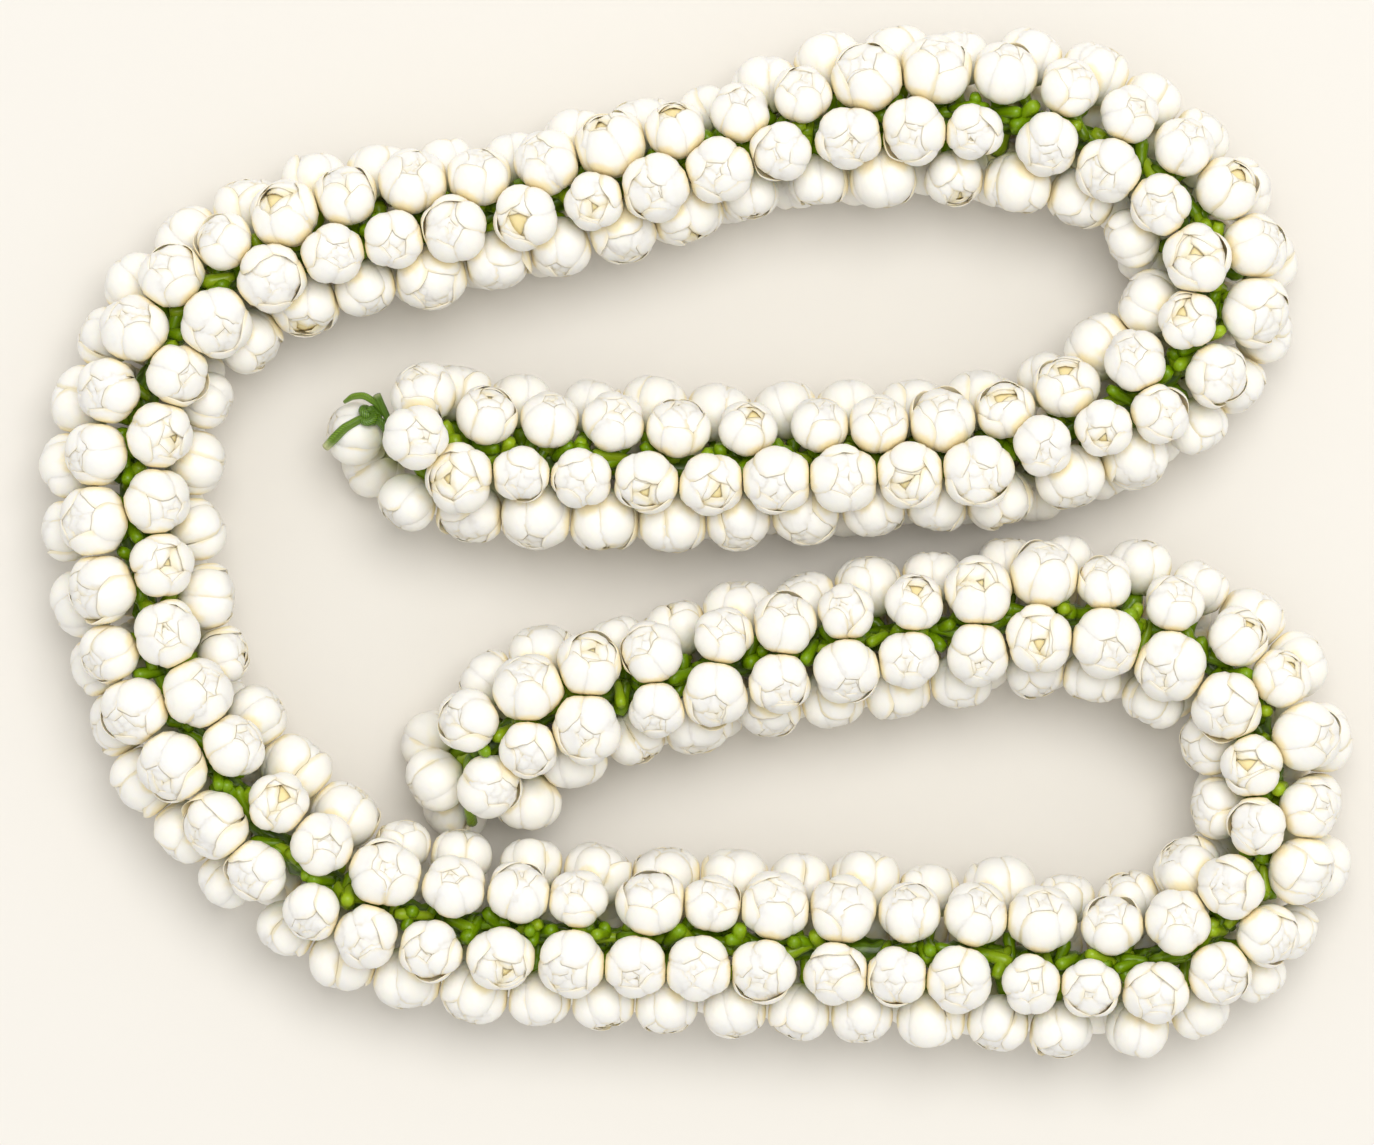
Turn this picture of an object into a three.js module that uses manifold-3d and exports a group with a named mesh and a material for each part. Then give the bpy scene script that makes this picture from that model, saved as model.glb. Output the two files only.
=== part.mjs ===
// A jasmine garland: round double-jasmine buds tied by their stalks, in six rows, round one string.
// It lies on the plane z = 0 in a long winding course. Sizes are in millimetres, angles in degrees,
// +Z is up, and the origin is the middle of the garland's footprint.
import * as THREE from "three";
import Module from "manifold-3d";
import { mergeVertices } from "three/addons/utils/BufferGeometryUtils.js";

const wasm = await Module();
wasm.setup();

// ---- Driving dimensions ----------------------------------------------------------------------

// The course of the string, from the knotted end to the loose one: x, y, half the strand's width
// there, and how far the rows are rolled round the string, to the right of the way along it.
const COURSE = [
  [-61.5, 20.5, 19.3, -8],
  [-50, 19, 18.7, -12],
  [-36, 17, 18.9, -14],
  [-17, 16, 19.3, -14],
  [3, 15, 18.5, -14],
  [23, 16, 17.8, -14],
  [43, 17, 16.8, -12],
  [61, 18, 16.6, -14],
  [78, 23, 17.2, -26],
  [92, 29, 18.5, -8],
  [103, 38, 19.3, 6],
  [109, 50, 19.3, 18],
  [107, 62, 19.9, 22],
  [102, 72, 19.9, 12],
  [93, 80, 19, 4],
  [82, 85, 19.6, 9],
  [69, 88, 20.4, 14],
  [53, 89, 20.2, 16],
  [37, 88, 19.3, 16],
  [20, 85, 17.2, 12],
  [2, 80, 16.6, 12],
  [-19, 74, 17.2, 16],
  [-40, 69, 17.0, 18],
  [-60, 66, 18.9, 18],
  [-79, 62, 18.1, 14],
  [-95, 56, 18.5, 8],
  [-107, 46, 19.3, 4],
  [-114, 34, 19.3, 4],
  [-117, 21, 19.7, 6],
  [-118, 6, 20.2, 4],
  [-116, -8, 19.9, 8],
  [-113, -23, 20.2, 14],
  [-106, -39, 20, 4],
  [-97, -52, 20, 2],
  [-87, -64, 20, 2],
  [-73, -74, 19.9, 0],
  [-57, -79, 20.4, -2],
  [-39, -82, 21.0, -6],
  [-19, -84, 20.2, -8],
  [2, -85, 20.4, -10],
  [23, -86, 20.6, -11],
  [44, -87, 20.4, -11],
  [65, -88, 20.8, -11],
  [83, -89.5, 20.8, -12],
  [100, -87.5, 20.4, 0],
  [113, -79, 20.2, 8],
  [119.5, -66, 18.8, 18],
  [121.5, -53, 17.4, 14],
  [120, -41, 18.2, 12],
  [114, -30, 19.3, 8],
  [104, -23, 19.3, 6],
  [90, -18, 19.3, 10],
  [75, -16, 18.5, 12],
  [60, -18, 18.1, 4],
  [44, -20, 18.1, 4],
  [27, -23, 17.2, 4],
  [10, -26, 17.2, 4],
  [-7, -30, 16.8, 4],
  [-24, -34, 17.6, 4],
  [-36, -39, 18.7, 4],
  [-46, -45.5, 19.3, 4],
];
const COURSE_MIDDLE = [0.727, -0.211]; // middle of the footprint, in the course's own x and y
const COURSE_STEPS = 20; // samples between two points of the course
const COURSE_TENSION = 0.5; // of the curve through its points
const AXIS_HEIGHT = 17.9; // the string above the table

const BUD_RADIUS = 6.65; // the mean bud is 13.3 mm across
const BUD_SPREAD = 0.12; // the largest departure from it, as a share
const BUD_PITCH = 13.9; // from bud to bud along a row
const ROW_PHASES = [0.25, 0.75]; // where even and odd rows begin, as shares of the pitch
const ROW_ANGLES = [-150, -90, -30, 30, 90, 150]; // from straight up, to the right of the course
const HALF_ROW_TURN = 30; // from a row to halfway to the next
const LOWER_LEFT_ROW = 0;
const TOP_ROWS = [2, 3];
const LOWER_RIGHT_ROW = 5;
const ROW_HEIGHT = 13.4; // from the string to a bud's middle, upright
const ROW_TALLER = 0.35; // a narrow stretch stands taller by this share of what it lacks in width
const ROW_WANDER = 1.4; // random shift of a bud along its row
const TIP_WANDER = 16; // random lean of a bud's tip, each way
const END_FAN = 14; // length over which the buds at an end fan out
const END_FAN_ANGLE = 38;
// The buds that close the ends: which end (-1 knotted, 1 loose), how far past it the bud's middle
// lies, how far to the right of the course, and how far below the string.
const END_BUDS = [
  [-1, 9.5, 0, 2.5],
  [-1, 6, 5, 11],
  [1, 9.5, 0, 2.5],
  [1, 4, 6.6, 11],
  [1, 10, -7, 11],
  [-1, -6.5, -1.5, -14],
  [1, -1.5, -8.5, -6.5],
];
const END_BUD_RISE = 0.5; // upward slope of their axes

const SETTLE_ROUNDS = 40; // rounds in which buds push one another apart
const SETTLE_STEP = 0.6; // share of each push that is made at once
const SETTLE_HOMING = 0.04; // share of the way back to its place that a bud goes in each round
const PRESSED = 0.985; // how near two buds come, as a share of their radii
const FLOOR_PRESSED = 0.94; // the same, from the table

const CORNER_REACH = 1.07; // corners stand out past the round bud, so that its volume is kept
const PRESS_GAP = 0.4; // between two buds' faces
const SEAT_HEIGHT = 1.7; // corners of a lower bud that are nearer the table lie flat on it
const SEAT_TURN = 18; // turn of a lower bud that brings one of its faces under it
const LINK_REACH = 17.5; // buds further apart than this are not joined
const BETWEEN = 0.52; // a bud this near the middle of two others, as a share of their distance, parts them
const LEAST_MATCH = 0.7; // how nearly a face must look towards the bud it is joined to

const LOWER_STALK_EVERY = 3; // one in so many buds of the lower rows has its stalk made
const STALK_ROOT = 1.2; // radius on the core
const STALK_TOP = 1.5; // radius under the bud
const STALK_GAP = 0.35; // between a stalk's end and its bud
const STALK_CLEAR = 0.5; // between a stalk and the corners of the other buds
const CORE_RADIUS = 2.5; // the tied stalks round the string
const STALK_CORNERS = [90, 210, 330].map(THREE.MathUtils.degToRad);
const ROOT_MARGIN = 0.5; // between a stalk's root and the end of its flat
const STRING_RADIUS = 0.8;
const STRING_GAP = 0.4; // between the string and the tied stalks round it

const TAIL_RADIUS = 0.9; // the free ends of the string are untwisted and thicker
const TAIL_SIDES = 4;
const TAIL_STEPS = 5;
const KNOT_AT = [-67.9, 26.2, 23];
const KNOT_RADIUS = 1.5;
const KNOT_STRAND = 0.62; // radius of the string where it is pulled tight in the knot
const KNOT_STEPS = 15;
const KNOT_SIDES = 4;
const KNOT_TILT_X = -32; // the knot lies on the slope of the end bud
const KNOT_TILT_Y = 20;
// Free ends, each from the string's end in the core or from the knot: x, y, z.
const KNOT_LEAD = [
  [-61.4, 20.5, 17.9],
  [-62.9, 20.8, 18.2],
  [-64.2, 22.8, 21],
  [-65.4, 24.8, 22.6],
  KNOT_AT,
];
const SHORT_TAIL = [KNOT_AT, [-67.3, 29.4, 24.2], [-69.4, 30.6, 24.4], [-73.2, 29, 22.4]];
const LONG_TAIL = [KNOT_AT, [-70.2, 25.2, 23.6], [-73.2, 23.5, 23.8], [-77.2, 19.5, 20.9]];
const LOOSE_TAIL = [
  [-45.93, -45.46, 17.9],
  [-47.1, -46.3, 18.3],
  [-47.2, -48.6, 20.4],
  [-47.3, -52.3, 20.6],
  [-47.2, -56, 17.5],
  [-46.6, -59.6, 12],
];

const SPRAYS = 20; // lengths of strand, each with its buds in one node and its stalks in another
const STATIONS_PER_SPRAY = 2;
const SPRAY_GAP = 0.4;

// ---- Materials ----------------------------------------------------------------------------------

const PETAL = new THREE.MeshStandardMaterial({ color: 0xfbf8ef, roughness: 0.5, metalness: 0 });
const STALK = new THREE.MeshStandardMaterial({ color: 0x4a8415, roughness: 0.35, metalness: 0 });
const STRING = new THREE.MeshStandardMaterial({ color: 0x5d8f38, roughness: 0.7, metalness: 0 });

// ---- Small helpers ------------------------------------------------------------------------------

const radians = THREE.MathUtils.degToRad;
const UP = new THREE.Vector3(0, 0, 1);
const WELD = 1e-4; // corners nearer than this are one

// A draw between 0 and 1 that depends only on the bud's number and on what is drawn.
function draw(number, what) {
  const wave = Math.sin(number * 12.9898 + what * 78.233) * 43758.5453;
  return wave - Math.floor(wave);
}

const signedDraw = (number, what) => 2 * draw(number, what) - 1;

// Closed surface as a solid that can be joined; its faces then share their corners.
function solidOfGeometry(geometry) {
  const bare = geometry.clone();
  bare.deleteAttribute("normal");
  bare.deleteAttribute("uv");
  const merged = mergeVertices(bare, WELD);
  return new wasm.Manifold(
    new wasm.Mesh({
      numProp: 3,
      vertProperties: merged.attributes.position.array,
      triVerts: new Uint32Array(merged.index.array),
    }),
  );
}

function geometryOf(solid) {
  const mesh = solid.getMesh();
  const geometry = new THREE.BufferGeometry();
  geometry.setAttribute("position", new THREE.BufferAttribute(mesh.vertProperties, 3));
  geometry.setIndex(new THREE.BufferAttribute(mesh.triVerts, 1));
  const faceted = geometry.toNonIndexed();
  faceted.computeVertexNormals();
  return faceted;
}

const joined = (solids) => wasm.Manifold.union(solids);

// ---- The course -----------------------------------------------------------------------------------

// Closely spaced samples of the course, each with its own length along it.
function sampleCourse() {
  const course = new THREE.CatmullRomCurve3(
    COURSE.map(([x, y]) => new THREE.Vector3(x, y, 0)),
    false,
    "catmullrom",
    COURSE_TENSION,
  );
  const spans = COURSE.length - 1;
  const samples = [];
  for (let i = 0; i <= spans * COURSE_STEPS; i++) {
    const span = Math.min(Math.floor(i / COURSE_STEPS), spans - 1);
    const share = i / COURSE_STEPS - span;
    const [, , widthBefore, rollBefore] = COURSE[span];
    const [, , widthAfter, rollAfter] = COURSE[span + 1];
    samples.push({
      point: course.getPoint(i / (spans * COURSE_STEPS)),
      halfWidth: widthBefore + share * (widthAfter - widthBefore),
      roll: radians(rollBefore + share * (rollAfter - rollBefore)),
    });
  }
  samples.forEach((sample, i) => {
    const before = samples[Math.max(i - 1, 0)];
    const after = samples[Math.min(i + 1, samples.length - 1)];
    sample.along = after.point.clone().sub(before.point).normalize();
    sample.length = i === 0 ? 0 : before.length + sample.point.distanceTo(before.point);
  });
  return samples;
}

// The sample at a length along the course, between its two neighbours; it runs on past the ends.
function courseAt(samples, length) {
  const last = samples.length - 1;
  const total = samples[last].length;
  let i = 0;
  while (i < last - 1 && samples[i + 1].length < length) i++;
  const share = THREE.MathUtils.clamp(
    (length - samples[i].length) / (samples[i + 1].length - samples[i].length), 0, 1);
  const mix = (key) => samples[i][key] + share * (samples[i + 1][key] - samples[i][key]);
  const along = samples[i].along.clone().lerp(samples[i + 1].along, share).normalize();
  const beyond = length - THREE.MathUtils.clamp(length, 0, total);
  const point = samples[i].point.clone().lerp(samples[i + 1].point, share);
  return {
    point: point.addScaledVector(along, beyond).setZ(AXIS_HEIGHT),
    along,
    right: new THREE.Vector3(along.y, -along.x, 0),
    halfWidth: mix("halfWidth"),
    roll: mix("roll"),
  };
}

// How far a row lies to the right of the course at a sample.
function rowOffset(sample, angle) {
  return (sample.halfWidth - BUD_RADIUS) * Math.sin(angle + sample.roll);
}

// ---- Placing the buds ---------------------------------------------------------------------------

// Lengths along the course at which a row's buds stand. They are evenly spaced along the row's own
// line, which is longer than the course outside a bend and shorter inside it.
function rowStations(samples, angle, row) {
  const reach = [0];
  for (let i = 1; i < samples.length; i++) {
    const { along, length } = samples[i];
    const before = samples[i - 1];
    const turn = Math.asin(before.along.clone().cross(along).z);
    const side = rowOffset(samples[i], angle);
    reach.push(reach[i - 1] + (length - before.length) + turn * side);
  }
  const whole = reach[reach.length - 1];
  const count = Math.round(whole / BUD_PITCH);
  const stations = [];
  for (let k = 0; k < count; k++) {
    const wanted = ((k + ROW_PHASES[row % 2]) * whole) / count;
    let i = 1;
    while (i < reach.length - 1 && reach[i] < wanted) i++;
    const share = (wanted - reach[i - 1]) / (reach[i] - reach[i - 1]);
    stations.push(THREE.MathUtils.lerp(samples[i - 1].length, samples[i].length, share));
  }
  return stations;
}

// One bud: its middle, its axis from stalk to tip, and the direction along the course.
function makeBud(samples, station, row, number) {
  const total = samples[samples.length - 1].length;
  const length = station + ROW_WANDER * signedDraw(number, 1);
  const place = courseAt(samples, length);
  const angle = radians(ROW_ANGLES[row]) + place.roll;
  const radius = BUD_RADIUS * (1 + BUD_SPREAD * signedDraw(number, 2));
  const reachOut = place.halfWidth - BUD_RADIUS;
  const reachUp = ROW_HEIGHT + ROW_TALLER * (ROW_HEIGHT - reachOut);
  const middle = place.point
    .clone()
    .addScaledVector(place.right, reachOut * Math.sin(angle))
    .addScaledVector(UP, reachUp * Math.cos(angle));
  const fan = END_FAN_ANGLE * (Math.max(0, 1 - (total - length) / END_FAN) - Math.max(0, 1 - length / END_FAN));
  const lean = radians(fan + TIP_WANDER * signedDraw(number, 3));
  const sway = radians(TIP_WANDER * signedDraw(number, 4));
  const axis = place.right
    .clone()
    .multiplyScalar(Math.sin(angle + sway))
    .addScaledVector(UP, Math.cos(angle + sway))
    .multiplyScalar(Math.cos(lean))
    .addScaledVector(place.along, Math.sin(lean));
  return { number, row, length, radius, home: middle, middle: middle.clone(), axis, along: place.along };
}

// A bud that closes an end of the string, which it points away from.
function makeEndBud(samples, number, [wayOut, past, side, drop]) {
  const length = wayOut > 0 ? samples[samples.length - 1].length : 0;
  const { point: end } = courseAt(samples, length);
  const place = courseAt(samples, length + wayOut * past);
  const middle = place.point.clone().addScaledVector(place.right, side).addScaledVector(UP, -drop);
  const axis = middle.clone().sub(end).normalize().addScaledVector(UP, END_BUD_RISE).normalize();
  return {
    number,
    row: LOWER_RIGHT_ROW,
    length,
    radius: BUD_RADIUS,
    home: middle,
    middle: middle.clone(),
    axis,
    along: place.along,
  };
}

function placeBuds(samples) {
  const buds = [];
  ROW_ANGLES.forEach((angle, row) => {
    for (const station of rowStations(samples, radians(angle), row)) {
      buds.push(makeBud(samples, station, row, buds.length));
    }
  });
  for (const endBud of END_BUDS) buds.push(makeEndBud(samples, buds.length, endBud));
  return buds;
}

// Buds that overlap push each other apart, and the table holds them up.
function settleBuds(buds) {
  for (let round = 0; round < SETTLE_ROUNDS; round++) {
    const moves = buds.map((bud) => bud.home.clone().sub(bud.middle).multiplyScalar(SETTLE_HOMING));
    for (let i = 0; i < buds.length; i++) {
      for (let j = i + 1; j < buds.length; j++) {
        const apart = buds[j].middle.clone().sub(buds[i].middle);
        const distance = apart.length();
        const short = PRESSED * (buds[i].radius + buds[j].radius) - distance;
        if (short > 0) {
          apart.multiplyScalar(short / (2 * distance));
          moves[i].sub(apart);
          moves[j].add(apart);
        }
      }
    }
    buds.forEach((bud, i) => {
      bud.middle.addScaledVector(moves[i], SETTLE_STEP);
      bud.middle.z = Math.max(bud.middle.z, FLOOR_PRESSED * bud.radius);
    });
  }
}

// ---- The shape of a bud -------------------------------------------------------------------------

// Rings of five corners round the axis, from stalk to tip, each turned half a petal from the last:
// height and distance out, as shares of the reach. A bud has one corner below and one at the tip.
const CLOSED_BUD = { rings: [[-0.45, 0.89], [0.45, 0.89]], base: -0.92, tip: 0.98 };
const OPEN_BUD = { rings: [[-0.5, 0.85], [0.16, 0.98], [0.8, 0.58]], base: -0.92, tip: 0.5 };
const PETALS = 5;

const isTopRow = (row) => TOP_ROWS.includes(row);
const isLowerRow = (row) => row === LOWER_LEFT_ROW || row === LOWER_RIGHT_ROW;

const faceMiddle = (bud, face) =>
  face
    .reduce((sum, corner) => sum.add(bud.corners[corner]), new THREE.Vector3())
    .divideScalar(face.length);

function budCorners(bud) {
  const shape = isTopRow(bud.row) ? OPEN_BUD : CLOSED_BUD;
  const reach = bud.radius * CORNER_REACH;
  const seatTurn = isLowerRow(bud.row) ? (bud.row === LOWER_LEFT_ROW ? -1 : 1) * SEAT_TURN : 0;
  const across = bud.along.clone().addScaledVector(bud.axis, -bud.along.dot(bud.axis)).normalize();
  across.applyAxisAngle(bud.axis, radians(seatTurn));
  const beside = bud.axis.clone().cross(across);
  const corners = [bud.middle.clone().addScaledVector(bud.axis, shape.base * reach)];
  shape.rings.forEach(([up, out], ring) => {
    for (let petal = 0; petal < PETALS; petal++) {
      const turn = (2 * Math.PI * (petal + ring / 2)) / PETALS;
      corners.push(
        bud.middle
          .clone()
          .addScaledVector(bud.axis, up * reach)
          .addScaledVector(across, out * reach * Math.cos(turn))
          .addScaledVector(beside, out * reach * Math.sin(turn)),
      );
    }
  });
  corners.push(bud.middle.clone().addScaledVector(bud.axis, shape.tip * reach));
  return corners;
}

// Faces between the lower corner, the rings and the tip, seen from outside anticlockwise.
function budFaces(rings) {
  const faces = [];
  const at = (ring, petal) => 1 + ring * PETALS + ((petal + PETALS) % PETALS);
  const tip = 1 + rings * PETALS;
  for (let petal = 0; petal < PETALS; petal++) {
    faces.push([0, at(0, petal + 1), at(0, petal)]);
    for (let ring = 0; ring < rings - 1; ring++) {
      faces.push([at(ring, petal), at(ring, petal + 1), at(ring + 1, petal)]);
      faces.push([at(ring, petal + 1), at(ring + 1, petal + 1), at(ring + 1, petal)]);
    }
    faces.push([at(rings - 1, petal), at(rings - 1, petal + 1), tip]);
  }
  return faces;
}

// Corners, edges and faces of a bud that come too near another bud's stalk are moved away from it.
function clearStalk(bud, other) {
  const stalkLine = new THREE.Line3(other.stalkFoot, other.corners[0]);
  const probes = bud.faces.flatMap(([a, b, c]) => [[a], [a, b], [a, b, c]]);
  for (const probe of probes) {
    const place = faceMiddle(bud, probe);
    const nearest = stalkLine.closestPointToPoint(place, true, new THREE.Vector3());
    const away = place.sub(nearest);
    const short = STALK_TOP + STALK_CLEAR - away.length();
    away.normalize();
    if (short > 0) probe.forEach((corner) => bud.corners[corner].addScaledVector(away, short));
  }
}

// A corner that reaches past the plane between two buds is pressed back on to it, and a lower bud's
// corners near the table lie flat on it.
function pressCorners(bud, buds) {
  for (const other of buds) {
    const toward = other.middle.clone().sub(bud.middle);
    const distance = toward.length();
    if (other === bud || distance > CORNER_REACH * (bud.radius + other.radius) + PRESS_GAP) continue;
    toward.normalize();
    const room = (distance * bud.radius) / (bud.radius + other.radius) - PRESS_GAP / 2;
    for (const corner of bud.corners) {
      const past = corner.clone().sub(bud.middle).dot(toward) - room;
      if (past > 0) corner.addScaledVector(toward, -past);
    }
  }
  for (const other of buds) {
    if (other !== bud && other.middle.distanceTo(bud.middle) < LINK_REACH) clearStalk(bud, other);
  }
  const seat = isLowerRow(bud.row) ? SEAT_HEIGHT : 0;
  for (const corner of bud.corners) {
    if (corner.z < seat) corner.z = 0;
  }
}

function shapeBuds(buds, samples) {
  for (const bud of buds) {
    bud.rootLength = rootLength(bud, samples[samples.length - 1].length);
    bud.stalkFoot = courseAt(samples, bud.rootLength).point;
    bud.corners = budCorners(bud);
    bud.faces = budFaces((isTopRow(bud.row) ? OPEN_BUD : CLOSED_BUD).rings.length);
    bud.facesUsed = [];
  }
  for (const bud of buds) pressCorners(bud, buds);
}

// ---- Joining the buds of a spray ------------------------------------------------------------------

const sharesEdge = (face, other) => face.filter((corner) => other.includes(corner)).length === 2;

// The faces of a bud that look towards a point, of those that are clear of its stalk and share no
// edge with a face that is used already.
function facingFaces(bud, point) {
  const toward = point.clone().sub(bud.middle).normalize();
  return bud.faces
    .filter((face) => !face.includes(0) && !bud.facesUsed.includes(face))
    .filter((face) => !bud.facesUsed.some((used) => sharesEdge(face, used)))
    .map((face) => ({ face, match: faceMiddle(bud, face).sub(bud.middle).normalize().dot(toward) }))
    .filter(({ match }) => match > LEAST_MATCH);
}

// Whether walls from a face's edges to some points clear the bud: the points lie above the face, and
// above each face beside it that rises from it.
function standsClear(bud, face, points) {
  const planeOf = (some) =>
    new THREE.Plane().setFromCoplanarPoints(...some.map((corner) => bud.corners[corner]));
  const isAbove = (plane) => points.every((point) => plane.distanceToPoint(point) > 0);
  const own = planeOf(face);
  const rises = (beside) => beside.some((corner) => own.distanceToPoint(bud.corners[corner]) > WELD);
  const rising = bud.faces.filter((beside) => sharesEdge(beside, face) && rises(beside));
  return isAbove(own) && rising.every((beside) => isAbove(planeOf(beside)));
}

// Two buds are joined where they press together: two facing faces are left out, and the gap between
// their edges is closed by side walls. Where no pair of faces stands clear there is no join.
function linkBuds(one, other) {
  const cornersOf = (bud, face) => face.map((corner) => bud.corners[corner]);
  const pairs = facingFaces(one, other.middle).flatMap((near) =>
    facingFaces(other, one.middle).map((far) => ({ near: near.face, far: far.face, match: near.match + far.match })),
  );
  pairs.sort((a, b) => b.match - a.match);
  const pair = pairs.find(
    ({ near, far }) =>
      standsClear(one, near, cornersOf(other, far)) && standsClear(other, far, cornersOf(one, near)),
  );
  if (!pair) return null;
  one.facesUsed.push(pair.near);
  other.facesUsed.push(pair.far);
  const near = cornersOf(one, pair.near);
  const far = cornersOf(other, pair.far).reverse();
  const spread = (turn) => near.reduce((sum, corner, i) => sum + corner.distanceTo(far[(i + turn) % 3]), 0);
  const turn = [0, 1, 2].reduce((best, candidate) => (spread(candidate) < spread(best) ? candidate : best));
  return [0, 1, 2].flatMap((i) => {
    const next = (i + 1) % 3;
    return sideWall(near[i], near[next], far[(next + turn) % 3], far[(i + turn) % 3]);
  });
}

// Four corners as two faces, split along the diagonal that makes the wall stand outwards.
function sideWall(a, b, c, d) {
  const [ab, ac, ad] = [b, c, d].map((corner) => corner.clone().sub(a));
  return ab.cross(ac).dot(ad) < 0 ? [[a, b, c], [a, c, d]] : [[a, b, d], [b, c, d]];
}

// The buds of a spray as one closed surface. The nearest pairs are linked first, until all the buds
// hold together.
function budsOf(spray) {
  const pairs = [];
  spray.forEach((one, i) => {
    for (const other of spray.slice(i + 1)) {
      const distance = one.middle.distanceTo(other.middle);
      const midway = one.middle.clone().lerp(other.middle, 0.5);
      const isBetween = (bud) => bud.middle.distanceTo(midway) < BETWEEN * distance;
      const inTheWay = spray.some((bud) => bud !== one && bud !== other && isBetween(bud));
      if (distance < LINK_REACH && !inTheWay) pairs.push({ one, other, distance });
    }
  });
  pairs.sort((a, b) => a.distance - b.distance);
  const group = new Map(spray.map((bud, i) => [bud, i]));
  const triangles = [];
  for (const { one, other } of pairs) {
    const kept = group.get(one);
    const taken = group.get(other);
    const walls = kept === taken ? null : linkBuds(one, other);
    if (!walls) continue;
    triangles.push(...walls);
    for (const bud of spray) {
      if (group.get(bud) === taken) group.set(bud, kept);
    }
  }
  for (const bud of spray) {
    const kept = bud.faces.filter((face) => !bud.facesUsed.includes(face));
    triangles.push(...kept.map((face) => face.map((corner) => bud.corners[corner])));
  }
  return triangles;
}

// ---- Stalks and string ----------------------------------------------------------------------------

// Corners of a six-sided ring square to the course; its flats face the rows of buds.
function ringAt(samples, length, radius) {
  const { point, right, roll } = courseAt(samples, length);
  return ROW_ANGLES.map((rowAngle) => {
    const angle = radians(rowAngle - HALF_ROW_TURN) + roll;
    return point
      .clone()
      .addScaledVector(right, radius * Math.sin(angle))
      .addScaledVector(UP, radius * Math.cos(angle));
  });
}

// The band between two rings. From outside, the second ring lies ahead of the first.
function addBand(triangles, first, second) {
  first.forEach((corner, i) => {
    const next = (i + 1) % first.length;
    triangles.push([corner, first[next], second[next]], [corner, second[next], second[i]]);
  });
}

// Where a stalk stands on its flat of the core, and where it ends under its bud.
function stalkEnds(bud) {
  const top = bud.corners[0].clone().addScaledVector(bud.axis, -STALK_GAP);
  const along = bud.along.clone().addScaledVector(bud.axis, -bud.along.dot(bud.axis)).normalize();
  const across = along.clone().cross(bud.axis);
  const topCorners = STALK_CORNERS.map((angle) =>
    top
      .clone()
      .addScaledVector(across, STALK_TOP * Math.cos(angle))
      .addScaledVector(along, STALK_TOP * Math.sin(angle)),
  );
  return { length: bud.rootLength, topCorners };
}

// One flat of the core, between corners [near left, near right, far right, far left]. Each stalk's
// root is a hole in it, whose edge goes on up as the stalk.
function addFlat(triangles, corners, stalks, from, to) {
  const width = CORE_RADIUS;
  const long = to - from;
  const onFlat = ({ x, y }) => {
    const near = corners[0].clone().lerp(corners[1], x / width);
    return near.lerp(corners[3].clone().lerp(corners[2], x / width), y / long);
  };
  const outline = [[0, 0], [width, 0], [width, long], [0, long]].map(([x, y]) => new THREE.Vector2(x, y));
  const roots = stalks.map(({ length }) =>
    STALK_CORNERS.map(
      (angle) =>
        new THREE.Vector2(width / 2 + STALK_ROOT * Math.cos(angle), length - from + STALK_ROOT * Math.sin(angle)),
    ),
  );
  const holes = roots.map((root) => [...root].reverse());
  const places = [outline, ...holes].flat().map(onFlat);
  for (const face of THREE.ShapeUtils.triangulateShape(outline, holes)) {
    triangles.push(face.map((corner) => places[corner]));
  }
  stalks.forEach(({ topCorners }, stalk) => {
    const root = roots[stalk].map(onFlat);
    addBand(triangles, root, topCorners);
    triangles.push(topCorners);
  });
}

// A root lies wholly within one flat of the core, as near as that allows to its bud.
function rootLength(bud, courseLength) {
  const flat = courseLength / (SPRAYS * STATIONS_PER_SPRAY);
  const number = THREE.MathUtils.clamp(Math.floor(bud.length / flat), 0, SPRAYS * STATIONS_PER_SPRAY - 1);
  const room = STALK_ROOT + ROOT_MARGIN;
  return THREE.MathUtils.clamp(bud.length, number * flat + room, (number + 1) * flat - room);
}

// The tied stalks of one spray: a core round the string, with a channel for it, and a stalk that
// goes from one of its flats to each bud.
function stalksOf(spray, samples, start, end) {
  const triangles = [];
  const stations = [];
  for (let i = 0; i <= STATIONS_PER_SPRAY; i++) {
    stations.push(THREE.MathUtils.lerp(start + SPRAY_GAP / 2, end - SPRAY_GAP / 2, i / STATIONS_PER_SPRAY));
  }
  const outer = stations.map((length) => ringAt(samples, length, CORE_RADIUS));
  const inner = stations.map((length) => ringAt(samples, length, STRING_RADIUS + STRING_GAP));
  for (let i = 0; i < STATIONS_PER_SPRAY; i++) {
    const from = stations[i];
    const to = stations[i + 1];
    ROW_ANGLES.forEach((_, row) => {
      const next = (row + 1) % ROW_ANGLES.length;
      const stalks = spray
        .filter((bud) => bud.row === row && hasStalk(bud) && bud.rootLength > from && bud.rootLength < to)
        .map(stalkEnds);
      const flat = [outer[i][row], outer[i][next], outer[i + 1][next], outer[i + 1][row]];
      addFlat(triangles, flat, stalks, from, to);
    });
    addBand(triangles, inner[i + 1], inner[i]);
  }
  addBand(triangles, inner[0], outer[0]);
  addBand(triangles, outer[STATIONS_PER_SPRAY], inner[STATIONS_PER_SPRAY]);
  return triangles;
}

// Of the stalks of the lower rows, which can't be seen, only some are made.
const hasStalk = (bud) => !isLowerRow(bud.row) || bud.number % LOWER_STALK_EVERY === 0;

function solidOfTriangles(triangles) {
  const geometry = new THREE.BufferGeometry().setFromPoints(triangles.flat());
  return solidOfGeometry(geometry);
}

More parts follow.
